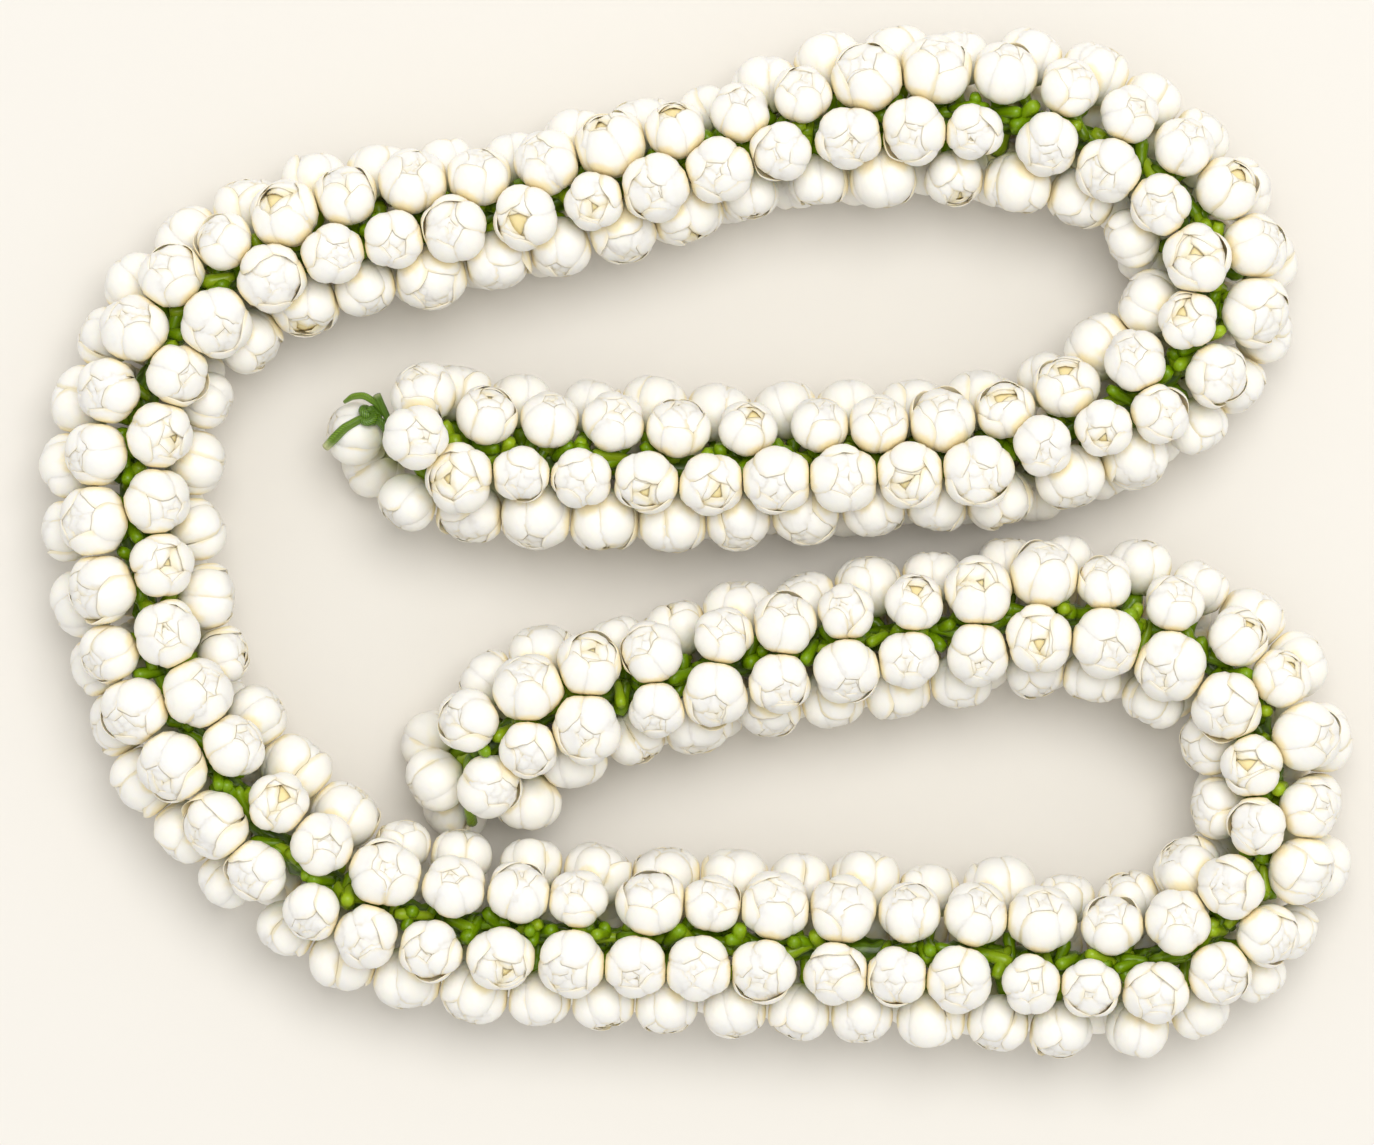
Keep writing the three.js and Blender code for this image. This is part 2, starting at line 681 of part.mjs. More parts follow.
// The string inside the core, three-sided.
function stringInside(samples) {
  const triangles = [];
  const rings = [];
  const steps = SPRAYS * STATIONS_PER_SPRAY;
  const end = samples[samples.length - 1].length;
  for (let i = 0; i <= steps; i++) {
    rings.push(ringAt(samples, (end * i) / steps, STRING_RADIUS).filter((_, corner) => corner % 2));
  }
  for (let i = 0; i < steps; i++) addBand(triangles, rings[i], rings[i + 1]);
  const [first, last] = [rings[0], rings[steps]];
  for (let i = 1; i < first.length - 1; i++) {
    triangles.push([first[0], first[i + 1], first[i]], [last[0], last[i], last[i + 1]]);
  }
  return solidOfTriangles(triangles);
}

// A free end of the string through hand-chosen points.
function freeEnd(points) {
  const corners = [];
  for (let side = 0; side < TAIL_SIDES; side++) {
    const angle = (2 * Math.PI * side) / TAIL_SIDES;
    corners.push(new THREE.Vector2(TAIL_RADIUS * Math.cos(angle), TAIL_RADIUS * Math.sin(angle)));
  }
  const extrudePath = new THREE.CatmullRomCurve3(points.map((point) => new THREE.Vector3(...point)));
  return solidOfGeometry(
    new THREE.ExtrudeGeometry(new THREE.Shape(corners), { steps: TAIL_STEPS, bevelEnabled: false, extrudePath }),
  );
}

// The whole string is one piece: its length inside the core, the overhand knot and the free ends.
function wholeString(samples) {
  const knot = new THREE.TorusKnotGeometry(KNOT_RADIUS, KNOT_STRAND, KNOT_STEPS, KNOT_SIDES);
  knot.rotateX(radians(KNOT_TILT_X));
  knot.rotateY(radians(KNOT_TILT_Y));
  knot.translate(...KNOT_AT);
  const freeEnds = [KNOT_LEAD, SHORT_TAIL, LONG_TAIL, LOOSE_TAIL].map(freeEnd);
  return joined([stringInside(samples), solidOfGeometry(knot), ...freeEnds]);
}

// ---- The garland ------------------------------------------------------------------------------------

const samples = sampleCourse();
const courseLength = samples[samples.length - 1].length;
const buds = placeBuds(samples);
settleBuds(buds);
shapeBuds(buds, samples);

const garland = new THREE.Group();
garland.name = "jasmine_garland";

function addPiece(name, solid, material) {
  const geometry = geometryOf(solid);
  geometry.translate(-COURSE_MIDDLE[0], -COURSE_MIDDLE[1], 0);
  const mesh = new THREE.Mesh(geometry, material);
  mesh.name = name;
  garland.add(mesh);
}

const sprayOf = (bud) => THREE.MathUtils.clamp(Math.floor((bud.length / courseLength) * SPRAYS), 0, SPRAYS - 1);
const sprayLength = courseLength / SPRAYS;

for (let number = 0; number < SPRAYS; number++) {
  const label = String(number + 1).padStart(2, "0");
  const spray = buds.filter((bud) => sprayOf(bud) === number);
  addPiece(`buds_${label}`, solidOfTriangles(budsOf(spray)), PETAL);
  const start = number * sprayLength;
  const green = solidOfTriangles(stalksOf(spray, samples, start, start + sprayLength));
  addPiece(`stalks_${label}`, green, STALK);
}

addPiece("string", wholeString(samples), STRING);

export default garland;
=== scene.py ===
"""Looks of a jasmine garland: round double-jasmine buds tied by their stalks round one string.

Every solid of the frame is replaced by petals, stalks and fibre that stand in the same place,
because this file repeats the rule by which the buds are placed. Placing and shaping is done in
millimetres, as in the frame's own source; a mesh is made in metres. +Z is up.
"""

from __future__ import annotations

import logging
from dataclasses import dataclass
from enum import Enum, IntEnum

import bpy
import numpy as np
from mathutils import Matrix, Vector
from numpy.typing import NDArray


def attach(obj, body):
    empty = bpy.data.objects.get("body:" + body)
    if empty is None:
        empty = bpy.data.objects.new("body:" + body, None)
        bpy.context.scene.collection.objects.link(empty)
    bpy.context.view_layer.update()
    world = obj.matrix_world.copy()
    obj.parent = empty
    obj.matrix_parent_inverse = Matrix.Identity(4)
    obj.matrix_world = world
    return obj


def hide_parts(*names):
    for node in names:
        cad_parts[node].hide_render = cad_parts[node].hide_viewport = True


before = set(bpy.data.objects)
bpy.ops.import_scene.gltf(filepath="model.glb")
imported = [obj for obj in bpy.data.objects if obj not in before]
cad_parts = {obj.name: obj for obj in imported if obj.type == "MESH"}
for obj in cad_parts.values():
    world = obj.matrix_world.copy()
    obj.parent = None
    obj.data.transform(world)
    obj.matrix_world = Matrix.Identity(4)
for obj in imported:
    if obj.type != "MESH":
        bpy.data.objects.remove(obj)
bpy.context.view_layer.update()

Array = NDArray[np.float64]
Faces = NDArray[np.int64]
Point = tuple[float, float, float]
log = logging.getLogger("garland")

MM = 0.001
UP = np.array([0.0, 0.0, 1.0])
TURN = 2 * np.pi
SPRAYS = 20
NO_DISTANCE = 1e-6  # two middles nearer than this are one bud's
NO_LIMIT = 1e3  # room, in millimetres, that nothing reaches


# ---- Numbers ------------------------------------------------------------------------------------


class Drawn(IntEnum):
    """What a draw is for. The values only keep the draws apart."""

    BUD_ALONG = 1
    BUD_RADIUS = 2
    BUD_LEAN = 3
    BUD_TILT = 4
    SPIN = 5
    TIP_KIND = 6
    HAND = 7
    PETAL_TURN = 8
    FROM_TIP = 9
    HALF_WIDTH = 10
    REACH_UP = 11
    CUT = 12
    LIFT = 13
    THREE_WAVES = 14
    FIVE_WAVES = 15
    NOTCH = 16
    OVAL = 17
    SHORT = 19
    FOOT = 20
    STALK_THICKNESS = 21
    STALK_AGE = 22
    STUB_HEADING = 24
    STUB_RISE = 25
    STUB_REACH = 26
    STUB_BEND = 27
    STUB_THICKNESS = 28
    STUB_AGE = 29
    PETAL_RADIUS = 31
    DOME = 32
    LAP = 33
    STUB_BASE = 34


def draw(number: Array, what: Drawn) -> Array:
    """Draws between 0 and 1 that depend only on a thing's number and on what is drawn.

    The formula is the fraction of a large multiple of a sine.

    Args:
        number: The numbers of the things.
        what: Which property is drawn.

    Returns:
        One draw for each number.
    """
    number_step, what_step, height = 12.9898, 78.233, 43758.5453  # any with no pattern would do
    wave = np.sin(number * number_step + what * what_step) * height
    return wave - np.floor(wave)


def signed_draw(number: Array, what: Drawn) -> Array:
    """Draws between -1 and 1."""
    return 2 * draw(number, what) - 1


def between(ends: tuple[float, float], share: Array) -> Array:
    """Values at shares of the way from the first of two numbers to the second."""
    return ends[0] + (ends[1] - ends[0]) * share


def unit(vectors: Array) -> Array:
    """Vectors along the last axis, brought to length one."""
    return vectors / np.linalg.norm(vectors, axis=-1, keepdims=True)


def dot(one: Array, other: Array) -> Array:
    """Dot products along the last axis, which is kept with length one."""
    return np.sum(one * other, axis=-1, keepdims=True)


def smooth(low: float, high: float, value: Array) -> Array:
    """A smooth step from 0 at low to 1 at high."""
    share = np.clip((value - low) / (high - low), 0, 1)
    return share * share * (3 - 2 * share)


def linear(hex_colour: str) -> tuple[float, float, float, float]:
    """A colour given as sRGB hex, in linear light with alpha one.

    Args:
        hex_colour: The colour, as # and six digits.

    Returns:
        Red, green, blue and alpha.
    """
    channels = [int(hex_colour[i : i + 2], 16) / 255 for i in (1, 3, 5)]
    red, green, blue = ((c / 12.92) if c <= 0.04045 else ((c + 0.055) / 1.055) ** 2.4 for c in channels)
    return (red, green, blue, 1.0)


# ---- The course of the string -------------------------------------------------------------------


@dataclass(frozen=True)
class Places:
    """Places along the course: point, way along, way to the right, half width and roll."""

    point: Array
    along: Array
    right: Array
    half_width: Array
    roll: Array


@dataclass
class Course:
    """The string's course over the table, in millimetres.

    Attributes:
        rows: x, y, half the strand's width, and roll of the rows in degrees, from the knotted end.
        middle: Middle of the footprint in the rows' own x and y.
        steps: Samples between two rows.
        axis_height: Height of the string above the table.
    """

    rows: tuple[tuple[float, float, float, float], ...] = (
        (-61.5, 20.5, 19.3, -8), (-50, 19, 18.7, -12), (-36, 17, 18.9, -14),
        (-17, 16, 19.3, -14), (3, 15, 18.5, -14), (23, 16, 17.8, -14),
        (43, 17, 16.8, -12), (61, 18, 16.6, -14), (78, 23, 17.2, -26),
        (92, 29, 18.5, -8), (103, 38, 19.3, 6), (109, 50, 19.3, 18),
        (107, 62, 19.9, 22), (102, 72, 19.9, 12), (93, 80, 19, 4),
        (82, 85, 19.6, 9), (69, 88, 20.4, 14), (53, 89, 20.2, 16),
        (37, 88, 19.3, 16), (20, 85, 17.2, 12), (2, 80, 16.6, 12),
        (-19, 74, 17.2, 16), (-40, 69, 17.0, 18), (-60, 66, 18.9, 18),
        (-79, 62, 18.1, 14), (-95, 56, 18.5, 8), (-107, 46, 19.3, 4),
        (-114, 34, 19.3, 4), (-117, 21, 19.7, 6), (-118, 6, 20.2, 4),
        (-116, -8, 19.9, 8), (-113, -23, 20.2, 14), (-106, -39, 20, 4),
        (-97, -52, 20, 2), (-87, -64, 20, 2), (-73, -74, 19.9, 0),
        (-57, -79, 20.4, -2), (-39, -82, 21.0, -6), (-19, -84, 20.2, -8),
        (2, -85, 20.4, -10), (23, -86, 20.6, -11), (44, -87, 20.4, -11),
        (65, -88, 20.8, -11), (83, -89.5, 20.8, -12), (100, -87.5, 20.4, 0),
        (113, -79, 20.2, 8), (119.5, -66, 18.8, 18), (121.5, -53, 17.4, 14),
        (120, -41, 18.2, 12), (114, -30, 19.3, 8), (104, -23, 19.3, 6),
        (90, -18, 19.3, 10), (75, -16, 18.5, 12), (60, -18, 18.1, 4),
        (44, -20, 18.1, 4), (27, -23, 17.2, 4), (10, -26, 17.2, 4),
        (-7, -30, 16.8, 4), (-24, -34, 17.6, 4), (-36, -39, 18.7, 4),
        (-46, -45.5, 19.3, 4),
    )
    middle: tuple[float, float] = (0.727, -0.211)
    steps: int = 20
    axis_height: float = 17.9

    def __post_init__(self) -> None:
        """Samples the course.

        Between two rows it is the cubic whose slope at each row is half the way between that row's
        neighbours. Past the ends a neighbour is set by going straight on. Half width and roll
        change evenly. The way along is that from the sample before to the sample after.
        """
        rows = np.array(self.rows)
        plan = rows[:, :2]
        padded = np.vstack([2 * plan[0] - plan[1], plan, 2 * plan[-1] - plan[-2]])
        spans = len(rows) - 1
        index = np.arange(spans * self.steps + 1)
        span = np.minimum(index // self.steps, spans - 1)
        t = (index / self.steps - span)[:, None]
        before, start, end, after = (padded[span + k] for k in range(4))
        slope_start = 0.5 * (end - start + start - before)
        slope_end = 0.5 * (after - end + end - start)
        self.plan = (
            start
            + slope_start * t
            + (-3 * start + 3 * end - 2 * slope_start - slope_end) * t**2
            + (2 * start - 2 * end + slope_start + slope_end) * t**3
        )
        self.half_width = rows[span, 2] + t[:, 0] * (rows[span + 1, 2] - rows[span, 2])
        self.roll = np.radians(rows[span, 3] + t[:, 0] * (rows[span + 1, 3] - rows[span, 3]))
        last = len(index) - 1
        self.along = unit(self.plan[np.minimum(index + 1, last)] - self.plan[np.maximum(index - 1, 0)])
        stretch = np.linalg.norm(np.diff(self.plan, axis=0), axis=1)
        self.length = np.concatenate([[0.0], np.cumsum(stretch)])

    @property
    def total(self) -> float:
        """Length of the whole course."""
        return float(self.length[-1])

    def at(self, length: Array) -> Places:
        """Places at lengths along the course, which runs straight on past its ends.

        Args:
            length: Lengths from the knotted end.

        Returns:
            One place for each length, between the two samples beside it.
        """
        i = np.clip(np.searchsorted(self.length, length, side="left") - 1, 0, len(self.length) - 2)
        share = np.clip((length - self.length[i]) / (self.length[i + 1] - self.length[i]), 0, 1)

        def mix(values: Array) -> Array:
            """The samples' values, mixed by how near each place is to the two beside it."""
            weight = share[:, None] if values.ndim > 1 else share
            return values[i] + weight * (values[i + 1] - values[i])

        along = unit(mix(self.along))
        beyond = (length - np.clip(length, 0, self.total))[:, None]
        plan = mix(self.plan) + along * beyond - np.array(self.middle)
        flat = np.zeros((len(length), 1))
        return Places(
            point=np.hstack([plan, flat + self.axis_height]),
            along=np.hstack([along, flat]),
            right=np.hstack([along[:, 1:], -along[:, :1], flat]),
            half_width=mix(self.half_width),
            roll=mix(self.roll),
        )


# ---- Placing the buds ---------------------------------------------------------------------------


@dataclass
class Buds:
    """All the buds, as arrays with one entry for each, in millimetres."""

    number: Array
    row: Array
    length: Array
    radius: Array
    home: Array
    axis: Array
    along: Array
    middle: Array

    def pick(self, chosen: Array) -> Buds:
        """The buds at the chosen entries."""
        return Buds(**{name: values[chosen] for name, values in vars(self).items()})

    def with_more(self, more: Buds) -> Buds:
        """These buds, and then some more."""
        both = {name: [values, getattr(more, name)] for name, values in vars(self).items()}
        return Buds(**{name: np.concatenate(pair) for name, pair in both.items()})

    def frames(self) -> tuple[Array, Array, Array]:
        """For each bud two directions across its axis, and the axis."""
        across = unit(self.along - self.axis * dot(self.along, self.axis))
        return across, np.cross(self.axis, across), self.axis


@dataclass(frozen=True)
class BudRule:
    """The rule that places the buds: six rows round the string, a closing few at each end.

    Lengths are in millimetres and angles in degrees.

    Attributes:
        radius: Mean radius of a bud.
        spread: How much larger or smaller a bud can be, as a share.
        pitch: Distance from bud to bud along a row.
        phases: Where the first bud of an even and of an odd row stands, in pitches.
        row_angles: Where the rows stand round the string, from straight up to the right.
        row_height: Height of the rows' ring where the strand is as wide as it is high.
        row_taller: How much of what the strand lacks in width it gains in height.
        row_wander: How far a bud can stand from its place along the row.
        tip_wander: How far a tip can lean each way.
        end_fan: Length at each end over which the tips fan out.
        end_fan_angle: How far they fan at the very end.
        end_buds: For each closing bud the end (-1 is the knotted one), and how far past it, to
            its right and below it the bud stands.
        end_bud_rise: How much a closing bud's axis turns up.
        end_bud_row: The row whose detail the closing buds get.
        settle_rounds: Rounds of pushing apart.
        settle_step: Share of its move that a bud makes in a round.
        settle_homing: How strongly it is drawn home.
        pressed: How near two buds may come, as a share of their radii.
        floor_pressed: How near the table a bud's middle may come, as a share of its radius.
    """

    radius: float = 6.65
    spread: float = 0.12
    pitch: float = 13.9
    phases: tuple[float, float] = (0.25, 0.75)
    row_angles: tuple[float, ...] = (-150, -90, -30, 30, 90, 150)
    row_height: float = 13.4
    row_taller: float = 0.35
    row_wander: float = 1.4
    tip_wander: float = 16
    end_fan: float = 14
    end_fan_angle: float = 38
    end_buds: tuple[tuple[float, float, float, float], ...] = (
        (-1, 9.5, 0, 2.5),
        (-1, 6, 5, 11),
        (1, 9.5, 0, 2.5),
        (1, 4, 6.6, 11),
        (1, 10, -7, 11),
        (-1, -6.5, -1.5, -14),
        (1, -1.5, -8.5, -6.5),
    )
    end_bud_rise: float = 0.5
    end_bud_row: int = 3
    settle_rounds: int = 40
    settle_step: float = 0.6
    settle_homing: float = 0.04
    pressed: float = 0.985
    floor_pressed: float = 0.94

    def stations(self, course: Course, row: int) -> Array:
        """Lengths along the course at which a row's buds stand.

        They are evenly spaced on the row's own line: each step of the course counts with its turn
        times the row's distance to the right added.

        Args:
            course: The course.
            row: The row's number.

        Returns:
            The lengths.
        """
        angle = np.radians(self.row_angles[row])
        before, after = course.along[:-1], course.along[1:]
        turn = np.arcsin(before[:, 0] * after[:, 1] - before[:, 1] * after[:, 0])
        side = (course.half_width[1:] - self.radius) * np.sin(angle + course.roll[1:])
        reach = np.concatenate([[0.0], np.cumsum(np.diff(course.length) + turn * side)])
        count = int(np.floor(reach[-1] / self.pitch + 0.5))
        wanted = (np.arange(count) + self.phases[row % 2]) * reach[-1] / count
        return np.interp(wanted, reach, course.length)

    def row_buds(self, course: Course) -> Buds:
        """The buds of the six rows, where they would stand without pushing.

        Args:
            course: The course.

        Returns:
            The buds, numbered row by row.
        """
        stations = [self.stations(course, row) for row in range(len(self.row_angles))]
        row = np.repeat(np.arange(len(stations)), [len(some) for some in stations])
        number = np.arange(len(row)).astype(float)
        length = np.concatenate(stations) + self.row_wander * signed_draw(number, Drawn.BUD_ALONG)
        place = course.at(length)
        angle = np.radians(np.array(self.row_angles)[row]) + place.roll
        reach_out = place.half_width - self.radius
        reach_up = self.row_height + self.row_taller * (self.row_height - reach_out)
        sideways, upwards = reach_out * np.sin(angle), reach_up * np.cos(angle)
        middle = place.point + place.right * sideways[:, None] + UP * upwards[:, None]
        near_start = np.maximum(0, 1 - length / self.end_fan)
        near_end = np.maximum(0, 1 - (course.total - length) / self.end_fan)
        fan = self.end_fan_angle * (near_end - near_start)
        lean = np.radians(fan + self.tip_wander * signed_draw(number, Drawn.BUD_LEAN))[:, None]
        tilt = (angle + np.radians(self.tip_wander * signed_draw(number, Drawn.BUD_TILT)))[:, None]
        outward = place.right * np.sin(tilt) + UP * np.cos(tilt)
        return Buds(
            number=number,
            row=row,
            length=length,
            radius=self.radius * (1 + self.spread * signed_draw(number, Drawn.BUD_RADIUS)),
            home=middle,
            axis=outward * np.cos(lean) + place.along * np.sin(lean),
            along=place.along,
            middle=middle.copy(),
        )

    def closing_buds(self, course: Course, first_number: int) -> Buds:
        """The buds that close the ends of the string, pointing away from it.

        Args:
            course: The course.
            first_number: The first one's number.

        Returns:
            The buds.
        """
        way_out, past, side, drop = np.array(self.end_buds).T
        length = np.where(way_out > 0, course.total, 0.0)
        end = course.at(length).point
        place = course.at(length + way_out * past)
        middle = place.point + place.right * side[:, None] - UP * drop[:, None]
        count = len(way_out)
        return Buds(
            number=np.arange(first_number, first_number + count).astype(float),
            row=np.full(count, self.end_bud_row),
            length=length,
            radius=np.full(count, self.radius),
            home=middle,
            axis=unit(unit(middle - end) + UP * self.end_bud_rise),
            along=place.along,
            middle=middle.copy(),
        )

    def settled(self, course: Course) -> Buds:
        """All the buds, after those that overlap have pushed each other apart.

        In each round a pair that is nearer than its pressed radii moves apart by half the shortfall
        each, every bud goes a small share of the way home, and the table holds it up.

        Args:
            course: The course.

        Returns:
            The buds where they lie in the garland.
        """
        rows = self.row_buds(course)
        buds = rows.with_more(self.closing_buds(course, len(rows.number)))
        radii = self.pressed * (buds.radius[:, None] + buds.radius[None, :])
        for _ in range(self.settle_rounds):
            apart = buds.middle[None, :, :] - buds.middle[:, None, :]
            distance = np.linalg.norm(apart, axis=2)
            np.fill_diagonal(distance, np.inf)
            short = np.maximum(radii - distance, 0)
            push = -np.sum(apart * (short / (2 * distance))[:, :, None], axis=1)
            move = (buds.home - buds.middle) * self.settle_homing + push
            buds.middle = buds.middle + move * self.settle_step
            buds.middle[:, 2] = np.maximum(buds.middle[:, 2], self.floor_pressed * buds.radius)
        return buds


# ---- Meshes -------------------------------------------------------------------------------------


def repeated_faces(faces: Faces, count: int, corners: int) -> Faces:
    """The faces of one shape, repeated for a number of shapes that lie one after the other."""
    return (faces[None] + (np.arange(count) * corners)[:, None, None]).reshape(-1, 3)


def ring_faces(around: int, rings: int) -> Faces:
    """The faces of a closed surface: one corner, then rings of corners, then one corner.

    Args:
        around: Corners in a ring.
        rings: Number of rings.

    Returns:
        The triangles, from the first corner to the last.
    """
    at, near = np.arange(around), (np.arange(around) + 1) % around
    faces = [np.stack([np.zeros(around, int), 1 + at, 1 + near], -1)]
    for here in 1 + around * np.arange(rings - 1):
        there = here + around
        faces.append(np.stack([here + at, there + at, there + near], -1))
        faces.append(np.stack([here + at, there + near, here + near], -1))
    last, pole = 1 + (rings - 1) * around, 1 + rings * around
    faces.append(np.stack([last + at, np.full(around, pole), last + near], -1))
    return np.concatenate(faces)


@dataclass
class Surface:
    """A triangle surface: corners in millimetres, faces, a texture place and a tone at each corner.

    The tone is three shares: on petals how near the margin, how much painted shade (how deep) and how
    near the stalk a corner is; on stalks how far along it is (on the bundle instead its painted furrow
    shade), nothing, and the stalk's age; on the string how far along it is, how fresh and how frayed.
    """

    corners: Array
    faces: Faces
    places: Array
    tones: Array

    @staticmethod
    def joined(surfaces: list[Surface]) -> Surface:
        """Several surfaces as one."""
        starts = np.cumsum([0] + [len(some.corners) for some in surfaces[:-1]])
        return Surface(
            corners=np.concatenate([some.corners for some in surfaces]),
            faces=np.concatenate([some.faces + start for some, start in zip(surfaces, starts)]),
            places=np.concatenate([some.places for some in surfaces]),
            tones=np.concatenate([some.tones for some in surfaces]),
        )

    def as_object(self, name: str, material: bpy.types.Material) -> bpy.types.Object:
        """Makes the surface an object at the origin, smooth, with its map and its tone attribute.

        Args:
            name: The object's name.
            material: Its finish.

        Returns:
            The object, in the scene.
        """
        mesh = bpy.data.meshes.new(name)
        count = len(self.faces)
        mesh.vertices.add(len(self.corners))
        mesh.loops.add(3 * count)
        mesh.polygons.add(count)
        mesh.vertices.foreach_set("co", (self.corners * MM).astype(np.float32).ravel())
        mesh.loops.foreach_set("vertex_index", self.faces.astype(np.int32).ravel())
        mesh.polygons.foreach_set("loop_start", np.arange(0, 3 * count, 3, dtype=np.int32))
        mesh.update(calc_edges=True)
        mesh.polygons.foreach_set("use_smooth", np.ones(count, dtype=bool))
        texture_map = mesh.uv_layers.new(name="surface")
        texture_map.uv.foreach_set("vector", self.places[self.faces.ravel()].astype(np.float32).ravel())
        tone = mesh.color_attributes.new(name="tone", type="FLOAT_COLOR", domain="POINT")
        tones = np.hstack([self.tones, np.ones((len(self.tones), 1))])
        tone.data.foreach_set("color", tones.astype(np.float32).ravel())
        mesh.materials.append(material)
        mesh.validate()
        piece = bpy.data.objects.new(name, mesh)
        bpy.context.scene.collection.objects.link(piece)
        return piece


def tubes(paths: Array, radii: Array, hints: Array, sides: int, tone: Array) -> Surface:
    """Round tubes with closed ends along several paths of equally many points.

    A ring stands square to the way along the path, and starts from the hinted direction made
    square to that way: corner = point + radius (cos turn first + sin turn second). The ends are
    closed by a corner in the middle of the first and the last ring.

    Args:
        paths: Points, one path after the other, shape (tubes, points, 3).
        radii: Radius at each point, shape (tubes, points).
        hints: A direction for each tube that is never along it, shape (tubes, 3).
        sides: Corners in a ring.
        tone: Tone of each tube, shape (tubes, 3); the first share is replaced by the way along.

    Returns:
        The surface.
    """
    count, points, _ = paths.shape
    way = unit(np.gradient(paths, axis=1))
    first = unit(hints[:, None, :] - way * dot(way, hints[:, None, :]))
    second = np.cross(way, first)
    turn = np.arange(sides) * TURN / sides
    circle = first[:, :, None] * np.cos(turn)[:, None] + second[:, :, None] * np.sin(turn)[:, None]
    rings = paths[:, :, None] + circle * radii[:, :, None, None]
    corners = np.concatenate([rings.reshape(count, -1, 3), paths[:, :1], paths[:, -1:]], axis=1)
    ring, side = np.meshgrid(np.arange(points - 1), np.arange(sides), indexing="ij")
    here, beside = ring * sides + side, ring * sides + (side + 1) % sides
    walls = [np.stack([here, beside, beside + sides], -1), np.stack([here, beside + sides, here + sides], -1)]
    at, near = np.arange(sides), (np.arange(sides) + 1) % sides
    last, pole = (points - 1) * sides, points * sides
    start_cap = np.stack([np.full(sides, pole), near, at], -1)
    end_cap = np.stack([np.full(sides, pole + 1), last + at, last + near], -1)
    faces = np.concatenate([walls[0].reshape(-1, 3), walls[1].reshape(-1, 3), start_cap, end_cap])
    share = np.concatenate([np.repeat(np.linspace(0, 1, points), sides), [0.0, 1.0]])
    round_share = np.concatenate([np.tile(turn / TURN, points), [0.5, 0.5]])
    tones = np.repeat(tone[:, None, :], corners.shape[1], axis=1)
    tones[:, :, 0] = share
    return Surface(
        corners=corners.reshape(-1, 3),
        faces=repeated_faces(faces, count, corners.shape[1]),
        places=np.tile(np.stack([round_share, share], -1), (count, 1)),
        tones=tones.reshape(-1, 3),
    )


# ---- Finishes -----------------------------------------------------------------------------------


def add_node(
    tree: bpy.types.NodeTree, kind: str, inputs: dict[str | int, object] | None = None, **settings: object
) -> bpy.types.Node:
    """Adds a node with its settings and links.

    Args:
        tree: The tree that the node joins.
        kind: The node's type.
        inputs: By an input's name or number, another node's output to link to it, or a constant.
        settings: Values for the node's own properties.

    Returns:
        The node.
    """
    node = tree.nodes.new(kind)
    for name, value in settings.items():
        setattr(node, name, value)
    for name, value in (inputs or {}).items():
        if isinstance(value, bpy.types.NodeSocket):
            tree.links.new(value, node.inputs[name])
        else:
            node.inputs[name].default_value = value
    return node


def new_material(name: str) -> tuple[bpy.types.Material, bpy.types.NodeTree]:
    """A material with an empty tree.

    Args:
        name: Its name.

    Returns:
        The material and its tree.
    """
    material = bpy.data.materials.new(name)
    material.use_nodes = True
    material.node_tree.nodes.clear()
    return material, material.node_tree


def tone_shares(tree: bpy.types.NodeTree) -> tuple[bpy.types.NodeSocket, ...]:
    """The three shares of the tone attribute."""
    tone = add_node(tree, "ShaderNodeVertexColor", layer_name="tone")
    return tuple(add_node(tree, "ShaderNodeSeparateColor", {0: tone.outputs["Color"]}).outputs)


@dataclass(frozen=True)
class Layer:
    """A colour laid over others.

    Attributes:
        value: The output that brings it in.
        colour: The colour, as sRGB hex.
        span: Values between which it comes in smoothly; without them the value is its share.
        most: Its greatest share, where it has a span.
    """

    value: bpy.types.NodeSocket
    colour: str
    span: tuple[float, float] | None = None
    most: float = 1.0


def layered(tree: bpy.types.NodeTree, base: str, *layers: Layer) -> bpy.types.NodeSocket:
    """Lays colours over a base, each by its own share.

    Args:
        tree: The material's tree.
        base: The lowest colour, as sRGB hex.
        layers: The colours over it, from the lowest up.

    Returns:
        The colour that results.
    """
    colour: object = linear(base)
    for layer in layers:
        share = layer.value
        if layer.span:
            inputs = {0: share, 1: layer.span[0], 2: layer.span[1], 3: 0.0, 4: layer.most}
            share = add_node(tree, "ShaderNodeMapRange", inputs, interpolation_type="SMOOTHSTEP").outputs[0]
        inputs = {0: share, 6: colour, 7: linear(layer.colour)}
        colour = add_node(tree, "ShaderNodeMix", inputs, data_type="RGBA").outputs[2]
    return colour


def finish(tree: bpy.types.NodeTree, inputs: dict[str, object]) -> None:
    """Ends a tree with a principled shader that has the given inputs."""
    shader = add_node(tree, "ShaderNodeBsdfPrincipled", inputs)
    add_node(tree, "ShaderNodeOutputMaterial", {"Surface": shader.outputs["BSDF"]})


